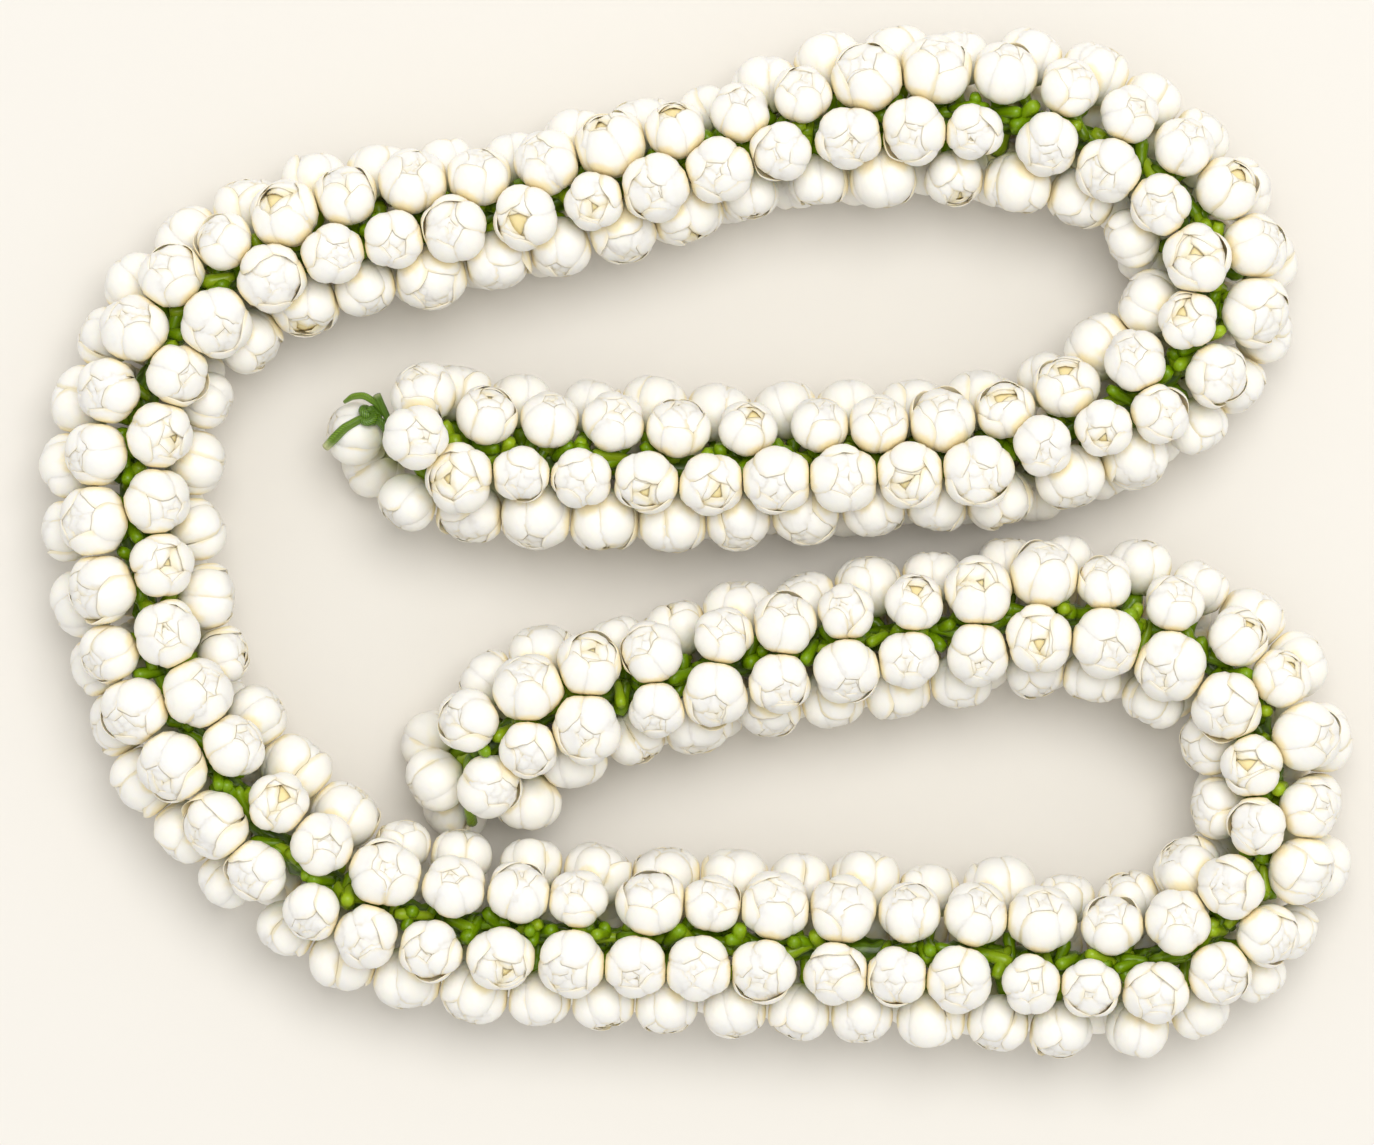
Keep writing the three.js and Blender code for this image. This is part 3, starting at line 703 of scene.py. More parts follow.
@dataclass(frozen=True)
class WaxyPetal:
    """Fresh double-jasmine petal, grown: thick, waxy and a little translucent.

    It gives soft broad highlights; creamy painted shade where petals fold over one another, deep inside,
    on inner faces, where buds press and towards the stalk; a greenish base near the stalk; a thin pale
    margin painted as a highlight; and very fine veins from base to tip.
    """

    white: str = "#F9F5EC"
    # Painted shade: the warm colour laid where the tone counts a corner deep.
    painted_shade_cream: str = "#F8EBC8"
    # Painted shade where a corner counts deepest: tip hollows, folds, inner faces and pressed spots.
    hollow: str = "#F3E1A8"
    base: str = "#E2DC9E"
    roughness: float = 0.4
    glow: float = 0.2
    glow_depth_mm: float = 1.2
    vein_mm: float = 0.5
    vein_depth_mm: float = 0.12
    uneven_mm: float = 2.6
    bud_mm: float = 13.3

    def material(self) -> bpy.types.Material:
        """The finish as a material: creamy painted shade and a painted pale margin by the tone attribute,
        veins by the petal's own map.

        Returns:
            The material.
        """
        material, tree = new_material("waxy_petal")
        margin, painted_shade_depth, stalk = tone_shares(tree)
        place = add_node(tree, "ShaderNodeTexCoord")
        inputs = {"Scale": 1 / (self.uneven_mm * MM), "Detail": 1.0, "Roughness": 0.5}
        uneven = add_node(tree, "ShaderNodeTexNoise", {"Vector": place.outputs["Object"], **inputs})
        # A quarter deeper at most or a quarter less, so that the painted shade has no plain edge.
        inputs = {0: uneven.outputs[0], 1: 0.5, 2: -0.25}
        patchy = add_node(tree, "ShaderNodeMath", inputs, operation="MULTIPLY_ADD")
        deep = add_node(tree, "ShaderNodeMath", {0: painted_shade_depth, 1: patchy.outputs[0]}, operation="ADD")
        colour = layered(
            tree,
            self.white,
            # Painted shade: warm where a corner counts deep, unevenly.
            Layer(deep.outputs[0], self.painted_shade_cream, (0.12, 0.62)),
            # Painted shade: the yellower colour where a corner counts deepest.
            Layer(painted_shade_depth, self.hollow, (0.74, 1.0)),
            Layer(stalk, self.base, (0.35, 1.0), 0.8),
            # Painted highlight: the margin made paler, for light through the thin edge.
            Layer(margin, self.white, (0.93, 1.0), 0.35),
        )
        scale = (self.bud_mm / self.vein_mm, 3.0, 1.0)  # fine across a petal, long from base to tip
        stretch = add_node(tree, "ShaderNodeMapping", {"Vector": place.outputs["UV"], "Scale": scale})
        inputs = {"Vector": stretch.outputs[0], "Scale": 1.0, "Detail": 1.0}
        veins = add_node(tree, "ShaderNodeTexNoise", inputs)
        inputs = {"Height": veins.outputs[0], "Strength": 0.3, "Distance": self.vein_depth_mm * MM}
        ribs = add_node(tree, "ShaderNodeBump", inputs)
        finish(
            tree,
            {
                "Base Color": colour,
                "Normal": ribs.outputs[0],
                "Roughness": self.roughness,
                "IOR": 1.42,
                "Subsurface Weight": self.glow,
                "Subsurface Radius": (1.0, 0.75, 0.4),
                "Subsurface Scale": self.glow_depth_mm * MM,
            },
        )
        return material


@dataclass(frozen=True)
class FreshStalk:
    """Fresh calyx and flower tube, grown: smooth, glossy and a little translucent.

    It gives small sharp highlights, mid green with yellow-green towards the bud, darker green
    low down where the stalks are tied, and painted shade in the furrows of the tied bundle.
    """

    dark: str = "#405A00"
    green: str = "#749800"
    light: str = "#A4BE20"
    roughness: float = 0.32
    blotch_mm: float = 1.8
    blotch_depth_mm: float = 0.2

    def material(self) -> bpy.types.Material:
        """The finish as a material: greens by the way along the stalk, by the bundle's painted furrow shade
        and by its age.

        Returns:
            The material.
        """
        material, tree = new_material("fresh_stalk")
        along, _, age = tone_shares(tree)
        place = add_node(tree, "ShaderNodeTexCoord")
        inputs = {"Vector": place.outputs["Object"], "Scale": 1 / (self.blotch_mm * MM), "Detail": 1.0}
        blotch = add_node(tree, "ShaderNodeTexNoise", inputs)
        inputs = {0: blotch.outputs[0], 1: 0.6, 2: along}
        mixed = add_node(tree, "ShaderNodeMath", inputs, operation="MULTIPLY_ADD")
        # On the bundle the way along holds its painted furrow shade instead.
        colour = layered(
            tree,
            self.dark,
            Layer(mixed.outputs[0], self.green, (0.2, 0.8)),
            Layer(age, self.light, (0.45, 1.0), 0.75),
        )
        inputs = {"Height": blotch.outputs[0], "Strength": 0.3, "Distance": self.blotch_depth_mm * MM}
        bump = add_node(tree, "ShaderNodeBump", inputs)
        finish(
            tree,
            {
                "Base Color": colour,
                "Normal": bump.outputs[0],
                "Roughness": self.roughness,
                "Specular IOR Level": 0.35,
                "Coat Weight": 0.06,
                "Coat Roughness": 0.12,
                "Subsurface Weight": 0.12,
                "Subsurface Radius": (0.6, 1.0, 0.2),
                "Subsurface Scale": 0.8 * MM,
            },
        )
        return material


@dataclass(frozen=True)
class PlantFibre:
    """Tying string of damp plant fibre, stripped and twisted: ribbed along, slightly glossy."""

    dark: str = "#34560A"
    light: str = "#6C9220"
    fresh: str = "#8EB024"
    frayed: str = "#D9D8A8"
    roughness: float = 0.3
    strand_depth_mm: float = 0.15

    def material(self) -> bpy.types.Material:
        """The finish as a material: strands turn round the string by its own map.

        Returns:
            The material.
        """
        material, tree = new_material("plant_fibre")
        _, freshness, fraying = tone_shares(tree)
        place = add_node(tree, "ShaderNodeTexCoord")
        inputs = {"Vector": place.outputs["UV"], "Rotation": (0.0, 0.0, 0.5)}
        twisted = add_node(tree, "ShaderNodeMapping", inputs)
        inputs = {"Vector": twisted.outputs[0], "Scale": 3.0, "Distortion": 1.2, "Detail": 2.0}
        bands = {"wave_type": "BANDS", "bands_direction": "X"}
        strands = add_node(tree, "ShaderNodeTexWave", inputs, **bands).outputs["Fac"]
        colour = layered(
            tree,
            self.dark,
            Layer(strands, self.light),
            Layer(freshness, self.fresh, (0.0, 1.0), 0.8),
            Layer(fraying, self.frayed),
        )
        inputs = {"Height": strands, "Strength": 0.6, "Distance": self.strand_depth_mm * MM}
        bump = add_node(tree, "ShaderNodeBump", inputs)
        finish(
            tree,
            {
                "Base Color": colour,
                "Normal": bump.outputs[0],
                "Roughness": self.roughness,
                "Coat Weight": 0.15,
                "Coat Roughness": 0.1,
            },
        )
        return material


@dataclass(frozen=True)
class PaleTable:
    """Matt painted table top, sprayed: plain, warm and nearly white, with the faintest unevenness."""

    colour: str = "#E6E2DB"
    shade: str = "#E4E0D9"
    roughness: float = 0.85
    cloud_mm: float = 120

    def material(self) -> bpy.types.Material:
        """The finish as a material: two nearly equal tones in large soft clouds.

        Returns:
            The material.
        """
        material, tree = new_material("pale_table")
        place = add_node(tree, "ShaderNodeTexCoord")
        inputs = {"Vector": place.outputs["Object"], "Scale": 1 / (self.cloud_mm * MM)}
        cloud = add_node(tree, "ShaderNodeTexNoise", inputs)
        colour = layered(tree, self.colour, Layer(cloud.outputs[0], self.shade))
        finish(tree, {"Base Color": colour, "Roughness": self.roughness})
        return material


# ---- Buds ---------------------------------------------------------------------------------------


class TipKind(Enum):
    """How a bud's tip looks."""

    CLOSED = "petals meet near the tip"
    HOLLOW = "petals leave a hollow"
    LOOSE = "closed, and some outer petals are short and stand off"


class Detail(Enum):
    """How finely the petals of a bud are made, by how well its row shows."""

    FINE = 0
    MEDIUM = 1
    COARSE = 2


@dataclass(frozen=True)
class Whorl:
    """One whorl of petals. Angles are in degrees and radii are shares of the bud's.

    Attributes:
        number: The whorl's number from outside, for its draws.
        count: Petals in it.
        radius: How far out the petals lie.
        from_tip: Angle from the bud's tip to a petal's middle.
        half_width: Angle from there to a side margin.
        reach_up: Angle from there to the margin near the tip.
        reach_down: Angle from there to the margin near the stalk.
        lap: How far one side stands out and the other goes in, where petals lap.
        dome: How far the side margins lie lower than the petal's middle.
        lift: Largest standing off of the upper margin.
        around: Corners round a margin, by detail.
        turn: Turn of the whole whorl, in petals.
        hollow_cut: How much less the petals reach up where the tip has a hollow.
        hollow_sink: How much lower they lie there.
        rings: Where the rings of corners lie on its outer face, as shares of the way to the margin.
    """

    number: int
    count: int
    radius: float
    from_tip: float
    half_width: float
    reach_up: float
    reach_down: float
    lap: float
    dome: float
    lift: float
    around: tuple[int, int, int]
    turn: float
    hollow_cut: float
    hollow_sink: float
    rings: tuple[float, ...]


@dataclass(frozen=True)
class PetalWander:
    """How far single petals stray from their whorl: angles in degrees, the rest as shares.

    A pair is the least and the greatest value.

    Attributes:
        number_steps: Steps in a petal's number, for its draws, from bud to bud and whorl to whorl.
        one_handed: Share of buds whose petals lap the usual way round.
        turn: Turn about the bud's axis, in petals.
        from_tip: Change of the angle from the tip.
        half_width: Change of the half width.
        reach_up: Change of the reach up.
        radius: Change of the distance from the bud's middle.
        dome: Doming, in the whorl's own.
        lap: Lapping, in the whorl's own.
        short_share: Share of outer petals that end well short of the tip.
        short_cut: How far short they end.
        short_lift: How far their margins stand off.
        loose_count: Outer petals that stand off on a bud of the loose kind.
        loose_cut: How far short those end.
        loose_lift: How far their margins stand off.
    """

    number_steps: tuple[float, float] = (13, 5.37)
    one_handed: float = 0.8
    turn: float = 0.15
    from_tip: float = 6
    half_width: float = 0.08
    reach_up: float = 8
    radius: float = 0.008
    dome: tuple[float, float] = (0.85, 1.2)
    lap: tuple[float, float] = (0.35, 1.35)
    short_share: float = 0.3
    short_cut: tuple[float, float] = (14, 28)
    short_lift: tuple[float, float] = (0.03, 0.08)
    loose_count: int = 2
    loose_cut: tuple[float, float] = (20, 36)
    loose_lift: tuple[float, float] = (0.05, 0.16)


@dataclass(frozen=True)
class PaintedPetalShade:
    """What makes a petal's corner count as deep, where warm shade is painted on it. Depth goes from 0 to 1.

    A pair is where the effect begins and where it is full. Heights are measured from the bud's
    middle towards its stalk, in its radius.

    Attributes:
        crease_shade: Painted shade at the margin, where petals lap.
        crease_span: Square of the way to the margin over which that sets in.
        crease_up: How much the way up counts in it, beside the way to the side.
        inner_whorl: Depth added for each whorl further in.
        sunk_from: Distance from the middle, in radii, inside which a corner lies deep.
        sunk_over: How much further in it lies quite deep.
        inner_face: Depth added on the inner face.
        foot: Painted shade added low down.
        foot_span: Heights between which it is added.
        stalk_span: Heights between which the tone of the stalk comes in.
        touch: Painted shade where another bud touches.
        touch_span: Where on the way to the plane between two buds that counts.
        touch_power: How sharply it sets in.
    """

    crease_shade: float = 0.85
    crease_span: tuple[float, float] = (0.4, 1.0)
    crease_up: float = 0.7
    inner_whorl: float = 0.07
    sunk_from: float = 0.85
    sunk_over: float = 0.09
    inner_face: float = 0.3
    foot: float = 0.3
    foot_span: tuple[float, float] = (-0.25, 0.6)
    stalk_span: tuple[float, float] = (0.55, 0.98)
    touch: float = 0.8
    touch_span: tuple[float, float] = (0.74, 1.0)
    touch_power: float = 1.5


@dataclass
class PetalSizes:
    """The sizes of the petals of one whorl, each of shape (buds, petals, 1). Angles are in radians."""

    number: Array
    turn: Array
    from_tip: Array
    side: Array
    up: Array
    down: Array
    radius: Array
    lift: Array
    dome: Array
    lap: Array


@dataclass
class Blossom:
    """The petals of the buds. Lengths are shares of the bud's radius where nothing else is said.

    Attributes:
        whorls: The whorls from the outside in.
        wander: How far petals stray.
        tone: Where warm shade is painted on them.
        detail_rows: The rows made with each detail, the finest first.
        fullness: How much fuller the petals make a bud than its plain ball.
        length: Half a bud's length along its axis, before its taper.
        taper: How much less that is at its tip and more at its stalk.
        oval: How much wider it can be one way, and narrower the other.
        tuck: How much lower an inner petal lies at its foot than at its middle.
        lift_power: How sharply the upper margin stands off.
        heart: Radius of the closed heart inside the petals.
        heart_sink: How much smaller it is where the tip has a hollow.
        heart_grid: Its rings, and the corners in each.
        thickness: A petal's thickness.
        corner_power: How square a petal's outline is; 2 is an ellipse.
        ruffle: How much the margin goes in and out, as a share of its reach.
        five_share: How high its five waves are beside its three.
        waviness: How much its surface goes in and out at the margin.
        notch_depth: Largest notch at the upper margin, as a share of its reach.
        notch_width: How wide it is, in radians round the petal's middle.
        soft_from: Share of the room between two buds at which they begin to flatten.
        touch_gap: Distance kept from the plane between two buds, in millimetres.
        neighbours: How many buds nearest to a bud can press on it.
        far: Distance past which they don't, as a share of the two radii.
        hollow_share: Share of buds with a hollow tip.
        loose_share: Share of buds with a loose outer petal.
    """

    whorls: tuple[Whorl, ...] = (
        Whorl(
            number=0, count=5, radius=1.0, from_tip=84, half_width=46, reach_up=63, reach_down=84,
            lap=0.022, dome=0.150, lift=0.012, around=(24, 20, 14), turn=0.0,
            hollow_cut=5, hollow_sink=0.0, rings=(0.24, 0.5, 0.77, 0.955),
        ),
        Whorl(
            number=1, count=4, radius=0.945, from_tip=58, half_width=50, reach_up=47, reach_down=74,
            lap=0.020, dome=0.135, lift=0.004, around=(18, 12, 8), turn=0.5,
            hollow_cut=15, hollow_sink=0.01, rings=(0.4, 0.76, 0.955),
        ),
        Whorl(
            number=2, count=3, radius=0.905, from_tip=38, half_width=56, reach_up=46, reach_down=60,
            lap=0.018, dome=0.125, lift=0.0, around=(12, 8, 6), turn=0.2,
            hollow_cut=15, hollow_sink=0.05, rings=(0.5, 0.88),
        ),
    )
    wander: PetalWander = PetalWander()
    tone: PaintedPetalShade = PaintedPetalShade()
    detail_rows: tuple[tuple[int, int], ...] = ((2, 3), (1, 4), (0, 5))
    fullness: float = 1.05
    length: float = 0.965
    taper: float = 0.045
    oval: float = 0.035
    tuck: float = 0.12
    lift_power: float = 2.5
    heart: float = 0.82
    heart_sink: float = 0.1
    heart_grid: tuple[int, int] = (5, 9)
    thickness: float = 0.024
    corner_power: float = 2.15
    ruffle: float = 0.028
    five_share: float = 0.6
    waviness: float = 0.004
    notch_depth: float = 0.07
    notch_width: float = 0.22
    soft_from: float = 0.93
    touch_gap: float = 0.03
    neighbours: int = 13
    far: float = 1.3
    hollow_share: float = 0.18
    loose_share: float = 0.27

    def kinds(self, buds: Buds) -> Array:
        """The kind of each bud's tip, as a draw against the shares.

        Args:
            buds: The buds.

        Returns:
            The name of each one's TipKind.
        """
        chance = draw(buds.number, Drawn.TIP_KIND)
        names = np.where(chance < self.hollow_share, TipKind.HOLLOW.name, TipKind.CLOSED.name)
        return np.where(chance > 1 - self.loose_share, TipKind.LOOSE.name, names)

    @staticmethod
    def shell(around: int, outer_rings: tuple[float, ...]) -> tuple[Array, Array, Array, Faces]:
        """The grid of a petal: a disc of rings over the outer face, round the margin and under it.

        Args:
            around: Corners in a ring.
            outer_rings: Where the rings of the outer face lie, as shares of the way to the margin.

        Returns:
            For each corner its share of the way to the margin, its turn and whether it is on the
            inner face, and the triangles.
        """
        ring_shares = np.array([*outer_rings, 1.0, 0.8])
        ring_inner = np.array([0.0] * len(outer_rings) + [0.5, 1.0])
        rings = len(ring_shares)
        turn = np.arange(around) * TURN / around
        share = np.concatenate([[0.0], np.repeat(ring_shares, around), [0.0]])
        angle = np.concatenate([[0.0], np.tile(turn, rings), [0.0]])
        inner = np.concatenate([[0.0], np.repeat(ring_inner, around), [1.0]])
        return share, angle, inner, ring_faces(around, rings)

    def sizes(self, buds: Buds, whorl: Whorl) -> PetalSizes:
        """The sizes of each petal of one whorl, which stray from the whorl's own by draws.

        Args:
            buds: The buds.
            whorl: The whorl.

        Returns:
            The sizes.
        """
        wander, is_outer = self.wander, whorl.number == 0
        kinds = self.kinds(buds)[:, None]
        hollow, loose = kinds == TipKind.HOLLOW.name, kinds == TipKind.LOOSE.name
        petal = np.arange(whorl.count)[None, :]
        bud_step, whorl_step = wander.number_steps
        number = buds.number[:, None] * bud_step + petal + whorl.number * whorl_step
        hand = np.where(draw(buds.number, Drawn.HAND) < wander.one_handed, 1.0, -1.0)[:, None]
        spin = TURN * draw(buds.number, Drawn.SPIN)[:, None]
        petals_round = petal + whorl.turn + wander.turn * signed_draw(number, Drawn.PETAL_TURN)
        is_short = (draw(number, Drawn.SHORT) < wander.short_share) & is_outer
        stands_off = loose & (petal < wander.loose_count) & is_outer
        cut_share, lift_share = draw(number, Drawn.CUT), draw(number, Drawn.LIFT)
        cut = np.where(hollow, whorl.hollow_cut, 0.0)
        cut = cut + np.where(is_short, between(wander.short_cut, cut_share), 0)
        cut = np.where(stands_off, between(wander.loose_cut, cut_share), cut)
        lift = whorl.lift * lift_share + np.where(is_short, between(wander.short_lift, lift_share), 0)
        wider = 1 + wander.half_width * signed_draw(number, Drawn.HALF_WIDTH)
        further_out = wander.radius * signed_draw(number, Drawn.PETAL_RADIUS)
        sizes = {
            "number": number,
            "turn": spin + hand * TURN * petals_round / whorl.count,
            "from_tip": np.radians(whorl.from_tip + wander.from_tip * signed_draw(number, Drawn.FROM_TIP)),
            "side": np.radians(whorl.half_width * wider),
            "up": np.radians(whorl.reach_up - cut + wander.reach_up * signed_draw(number, Drawn.REACH_UP)),
            "down": np.radians(whorl.reach_down),
            "radius": whorl.radius - hollow * whorl.hollow_sink + further_out,
            "lift": np.where(stands_off, between(wander.loose_lift, lift_share), lift),
            "dome": whorl.dome * between(wander.dome, draw(number, Drawn.DOME)),
            "lap": hand * whorl.lap * between(wander.lap, draw(number, Drawn.LAP)),
        }
        every = np.zeros_like(number)
        return PetalSizes(**{name: (values + every)[:, :, None] for name, values in sizes.items()})

    def petals(self, buds: Buds, whorl: Whorl, detail: Detail) -> Surface:
        """The petals of one whorl on all the given buds.

        A corner lies at an angle from the petal's middle that is its share of the outline's reach
        in its direction. The outline is a rounded box: reach = (|cos|^p / side^p +
        |sin|^p / upright^p)^(-1/p), with a ruffle of three and five waves round it and a notch at
        the top. The corner's distance from the bud's middle is the petal's radius, plus the lap
        times its place sideways, minus the dome times (its place sideways squared plus half its
        place upwards squared), plus the lift times a power of how far up it lies, plus the waves
        times its share of the way squared. It is less by the thickness on the inner face, and by
        the tuck times its place downwards on an inner whorl.

        Args:
            buds: The buds.
            whorl: The whorl.
            detail: How finely they are made.

        Returns:
            The petals, before the buds press on one another.
        """
        share, angle, inner, faces = self.shell(whorl.around[detail.value], whorl.rings)
        size = self.sizes(buds, whorl)
        cos, sin = np.cos(angle), np.sin(angle)
        power = self.corner_power
        upright = np.where(sin > 0, size.up, size.down)
        reach = (np.abs(cos / size.side) ** power + np.abs(sin / upright) ** power) ** (-1 / power)
        three_waves = np.sin(3 * angle + TURN * draw(size.number, Drawn.THREE_WAVES))
        five_waves = np.sin(5 * angle + TURN * draw(size.number, Drawn.FIVE_WAVES))
        waves = three_waves + self.five_share * five_waves
        from_top = (angle - TURN / 4) / self.notch_width
        notch = self.notch_depth * draw(size.number, Drawn.NOTCH) * np.exp(-(from_top**2))
        off_middle = share * reach * (1 + self.ruffle * waves - notch)
        sideways, upwards = share * cos, share * sin
        distance = size.radius + size.lap * sideways - size.dome * (sideways**2 + 0.5 * upwards**2)
        distance = distance + size.lift * (0.5 + 0.5 * upwards) ** self.lift_power - self.thickness * inner
        if whorl.number:
            distance = distance - self.tuck * np.maximum(-upwards, 0)
        distance = distance + self.waviness * waves * share**2
        # Painted shade along the margins, where petals lap, and a little more on each inner whorl.
        near_margin = sideways**2 + self.tone.crease_up * np.maximum(upwards, 0) ** 2
        crease_shade = self.tone.crease_shade * smooth(*self.tone.crease_span, near_margin)
        crease_shade = crease_shade + self.tone.inner_whorl * whorl.number

        sin_tip, cos_tip = np.sin(size.from_tip), np.cos(size.from_tip)
        sin_turn, cos_turn = np.sin(size.turn), np.cos(size.turn)
        centre = np.stack([sin_tip * cos_turn, sin_tip * sin_turn, cos_tip], -1)
        to_tip = np.stack([-cos_tip * cos_turn, -cos_tip * sin_turn, sin_tip], -1)
        to_side = np.stack([-sin_turn, cos_turn, 0 * cos_turn], -1)
        cos_off, sin_off = np.cos(off_middle)[..., None], np.sin(off_middle)[..., None]
        way = cos_off * centre + sin_off * (cos[:, None] * to_side + sin[:, None] * to_tip)
        return self.placed(buds, way, distance, np.stack([share, inner, crease_shade], -1), angle, faces)

    def hearts(self, buds: Buds) -> Surface:
        """The closed heart of each bud: a globe of rings from tip to stalk.

        Args:
            buds: The buds.

        Returns:
            The hearts, before the buds press on one another.
        """
        rings, around = self.heart_grid
        from_tip = np.repeat(np.linspace(0, np.pi, rings + 2)[1:-1], around)
        from_tip = np.concatenate([[0.0], from_tip, [np.pi]])
        turn = np.concatenate([[0.0], np.tile(np.arange(around) * TURN / around, rings), [0.0]])
        across = np.sin(from_tip)
        way = np.stack([across * np.cos(turn), across * np.sin(turn), np.cos(from_tip)], -1)
        hollow = self.kinds(buds) == TipKind.HOLLOW.name
        size = np.where(hollow, self.heart - self.heart_sink, self.heart)[:, None, None]
        distance = size + np.zeros((len(buds.number), 1, len(turn)))
        way = np.broadcast_to(way, (*distance.shape, 3))
        flags = np.stack([0 * turn, 0 * turn + 1, 0 * turn], -1)
        return self.placed(buds, way, distance, flags, turn, ring_faces(around, rings))

    def placed(
        self, buds: Buds, way: Array, distance: Array, flags: Array, angle: Array, faces: Faces
    ) -> Surface:
        """Corners given by way and distance from each bud's middle, put in the garland.

        Args:
            buds: The buds.
            way: Unit directions in the bud's own frame, shape (buds, shapes, corners, 3).
            distance: Shares of the bud's radius, shape (buds, shapes, corners).
            flags: For each corner its share of the way to the margin, whether it is inside, and
                how much painted shade it gets where petals lap.
            angle: For each corner its turn about the petal's middle.
            faces: The triangles of one shape.

        Returns:
            The surface, with its tones.
        """
        squash = 1 + self.oval * signed_draw(buds.number, Drawn.OVAL)
        stretch = np.stack([squash, 1 / squash, np.ones_like(squash)], -1)[:, None, None, :]
        local = way * distance[..., None] * stretch
        lengthwise = self.length - self.taper * way[..., 2:]
        local = local * np.concatenate([np.ones_like(way[..., :2]), lengthwise], -1)
        axes = np.stack(buds.frames(), axis=1)
        world = np.einsum("bpki,bij->bpkj", local, axes)
        corners = buds.middle[:, None, None, :] + world * (self.fullness * buds.radius)[:, None, None, None]
        share, inside, crease_shade = flags[:, 0], flags[:, 1], flags[:, 2]
        tone, down = self.tone, -way[..., 2]
        # Painted shade: a corner counts deep in folds, deep inside the bud, on its inner face and low towards
        # the stalk.
        painted_shade_depth = np.maximum(np.clip((tone.sunk_from - distance) / tone.sunk_over, 0, 1), crease_shade)
        painted_shade_depth = painted_shade_depth + tone.inner_face * inside + tone.foot * smooth(*tone.foot_span, down)
        tones = np.stack([share + 0 * painted_shade_depth, np.clip(painted_shade_depth, 0, 1), smooth(*tone.stalk_span, down)], -1)
        place = np.stack([0.5 + 0.5 * share * np.cos(angle), 0.5 + 0.5 * share * np.sin(angle)], -1)
        shapes = corners.shape[0] * corners.shape[1]
        return Surface(
            corners=corners.reshape(-1, 3),
            faces=repeated_faces(faces, shapes, corners.shape[2]),
            places=np.tile(place, (shapes, 1)),
            tones=tones.reshape(-1, 3),
        )

    def press(self, corners: Array, buds: Buds, every: Buds) -> tuple[Array, Array]:
        """Flattens the buds softly where they press on one another and on the table.

        Past a share of the room to the plane between two buds, the distance towards it nears the
        room without reaching it: d = a + (room - a)(1 - exp(-(d - a) / (room - a))).

        Args:
            corners: Corners of each bud, shape (buds, corners, 3).
            buds: Those buds.
            every: All the buds of the garland.

        Returns:
            The moved corners, and how near each is to touching a bud or the table, from 0 to 1.
        """
        apart = every.middle[None] - buds.middle[:, None]
        distance = np.linalg.norm(apart, axis=2)
        sums = every.radius[None] + buds.radius[:, None]
        distance[distance < NO_DISTANCE] = np.inf
        order = np.argsort(distance / sums, axis=1)[:, : self.neighbours]
        rows = np.arange(len(buds.number))[:, None]
        near = distance[rows, order]
        far_off = near > self.far * sums[rows, order]
        toward = np.where(far_off[..., None], UP, apart[rows, order] / near[..., None])
        room = near * buds.radius[:, None] / sums[rows, order] - self.touch_gap
        room = np.where(far_off, NO_LIMIT, room)
        toward = np.concatenate([toward, np.broadcast_to(-UP, (len(room), 1, 3))], axis=1)
        room = np.concatenate([room, buds.middle[:, 2:]], axis=1)
        moved = corners - buds.middle[:, None]
        touch = np.zeros((*corners.shape[:2], 1))
        for k in range(toward.shape[1]):
            way, limit = toward[:, k][:, None], room[:, k][:, None, None]
            out = dot(moved, way)
            start = self.soft_from * limit
            pressed = start + (limit - start) * (1 - np.exp(-np.maximum(out - start, 0) / (limit - start)))
            moved = moved + way * np.where(out > start, pressed - out, 0)
            touch = np.maximum(touch, smooth(*self.tone.touch_span, out / limit))
        return moved + buds.middle[:, None], touch

    def spray(self, buds: Buds, every: Buds) -> Surface:
        """All the petals of the buds of one spray.

        Args:
            buds: The buds of the spray.
            every: All the buds of the garland.

        Returns:
            The surface.
        """
        parts = []
        for detail in Detail:
            some = buds.pick(np.isin(buds.row, self.detail_rows[detail.value]))
            if not len(some.number):
                continue
            made = [self.petals(some, whorl, detail) for whorl in self.whorls] + [self.hearts(some)]
            for part in made:
                by_bud = part.corners.reshape(len(some.number), -1, 3)
                pressed, touch = self.press(by_bud, some, every)
                part.corners = pressed.reshape(-1, 3)
                # Painted shade where buds press on one another and on the table.
                pressed_shade = self.tone.touch * touch.ravel() ** self.tone.touch_power
                part.tones[:, 1] = np.maximum(part.tones[:, 1], pressed_shade)
            parts.extend(made)
        return Surface.joined(parts)


# ---- Stalks -------------------------------------------------------------------------------------


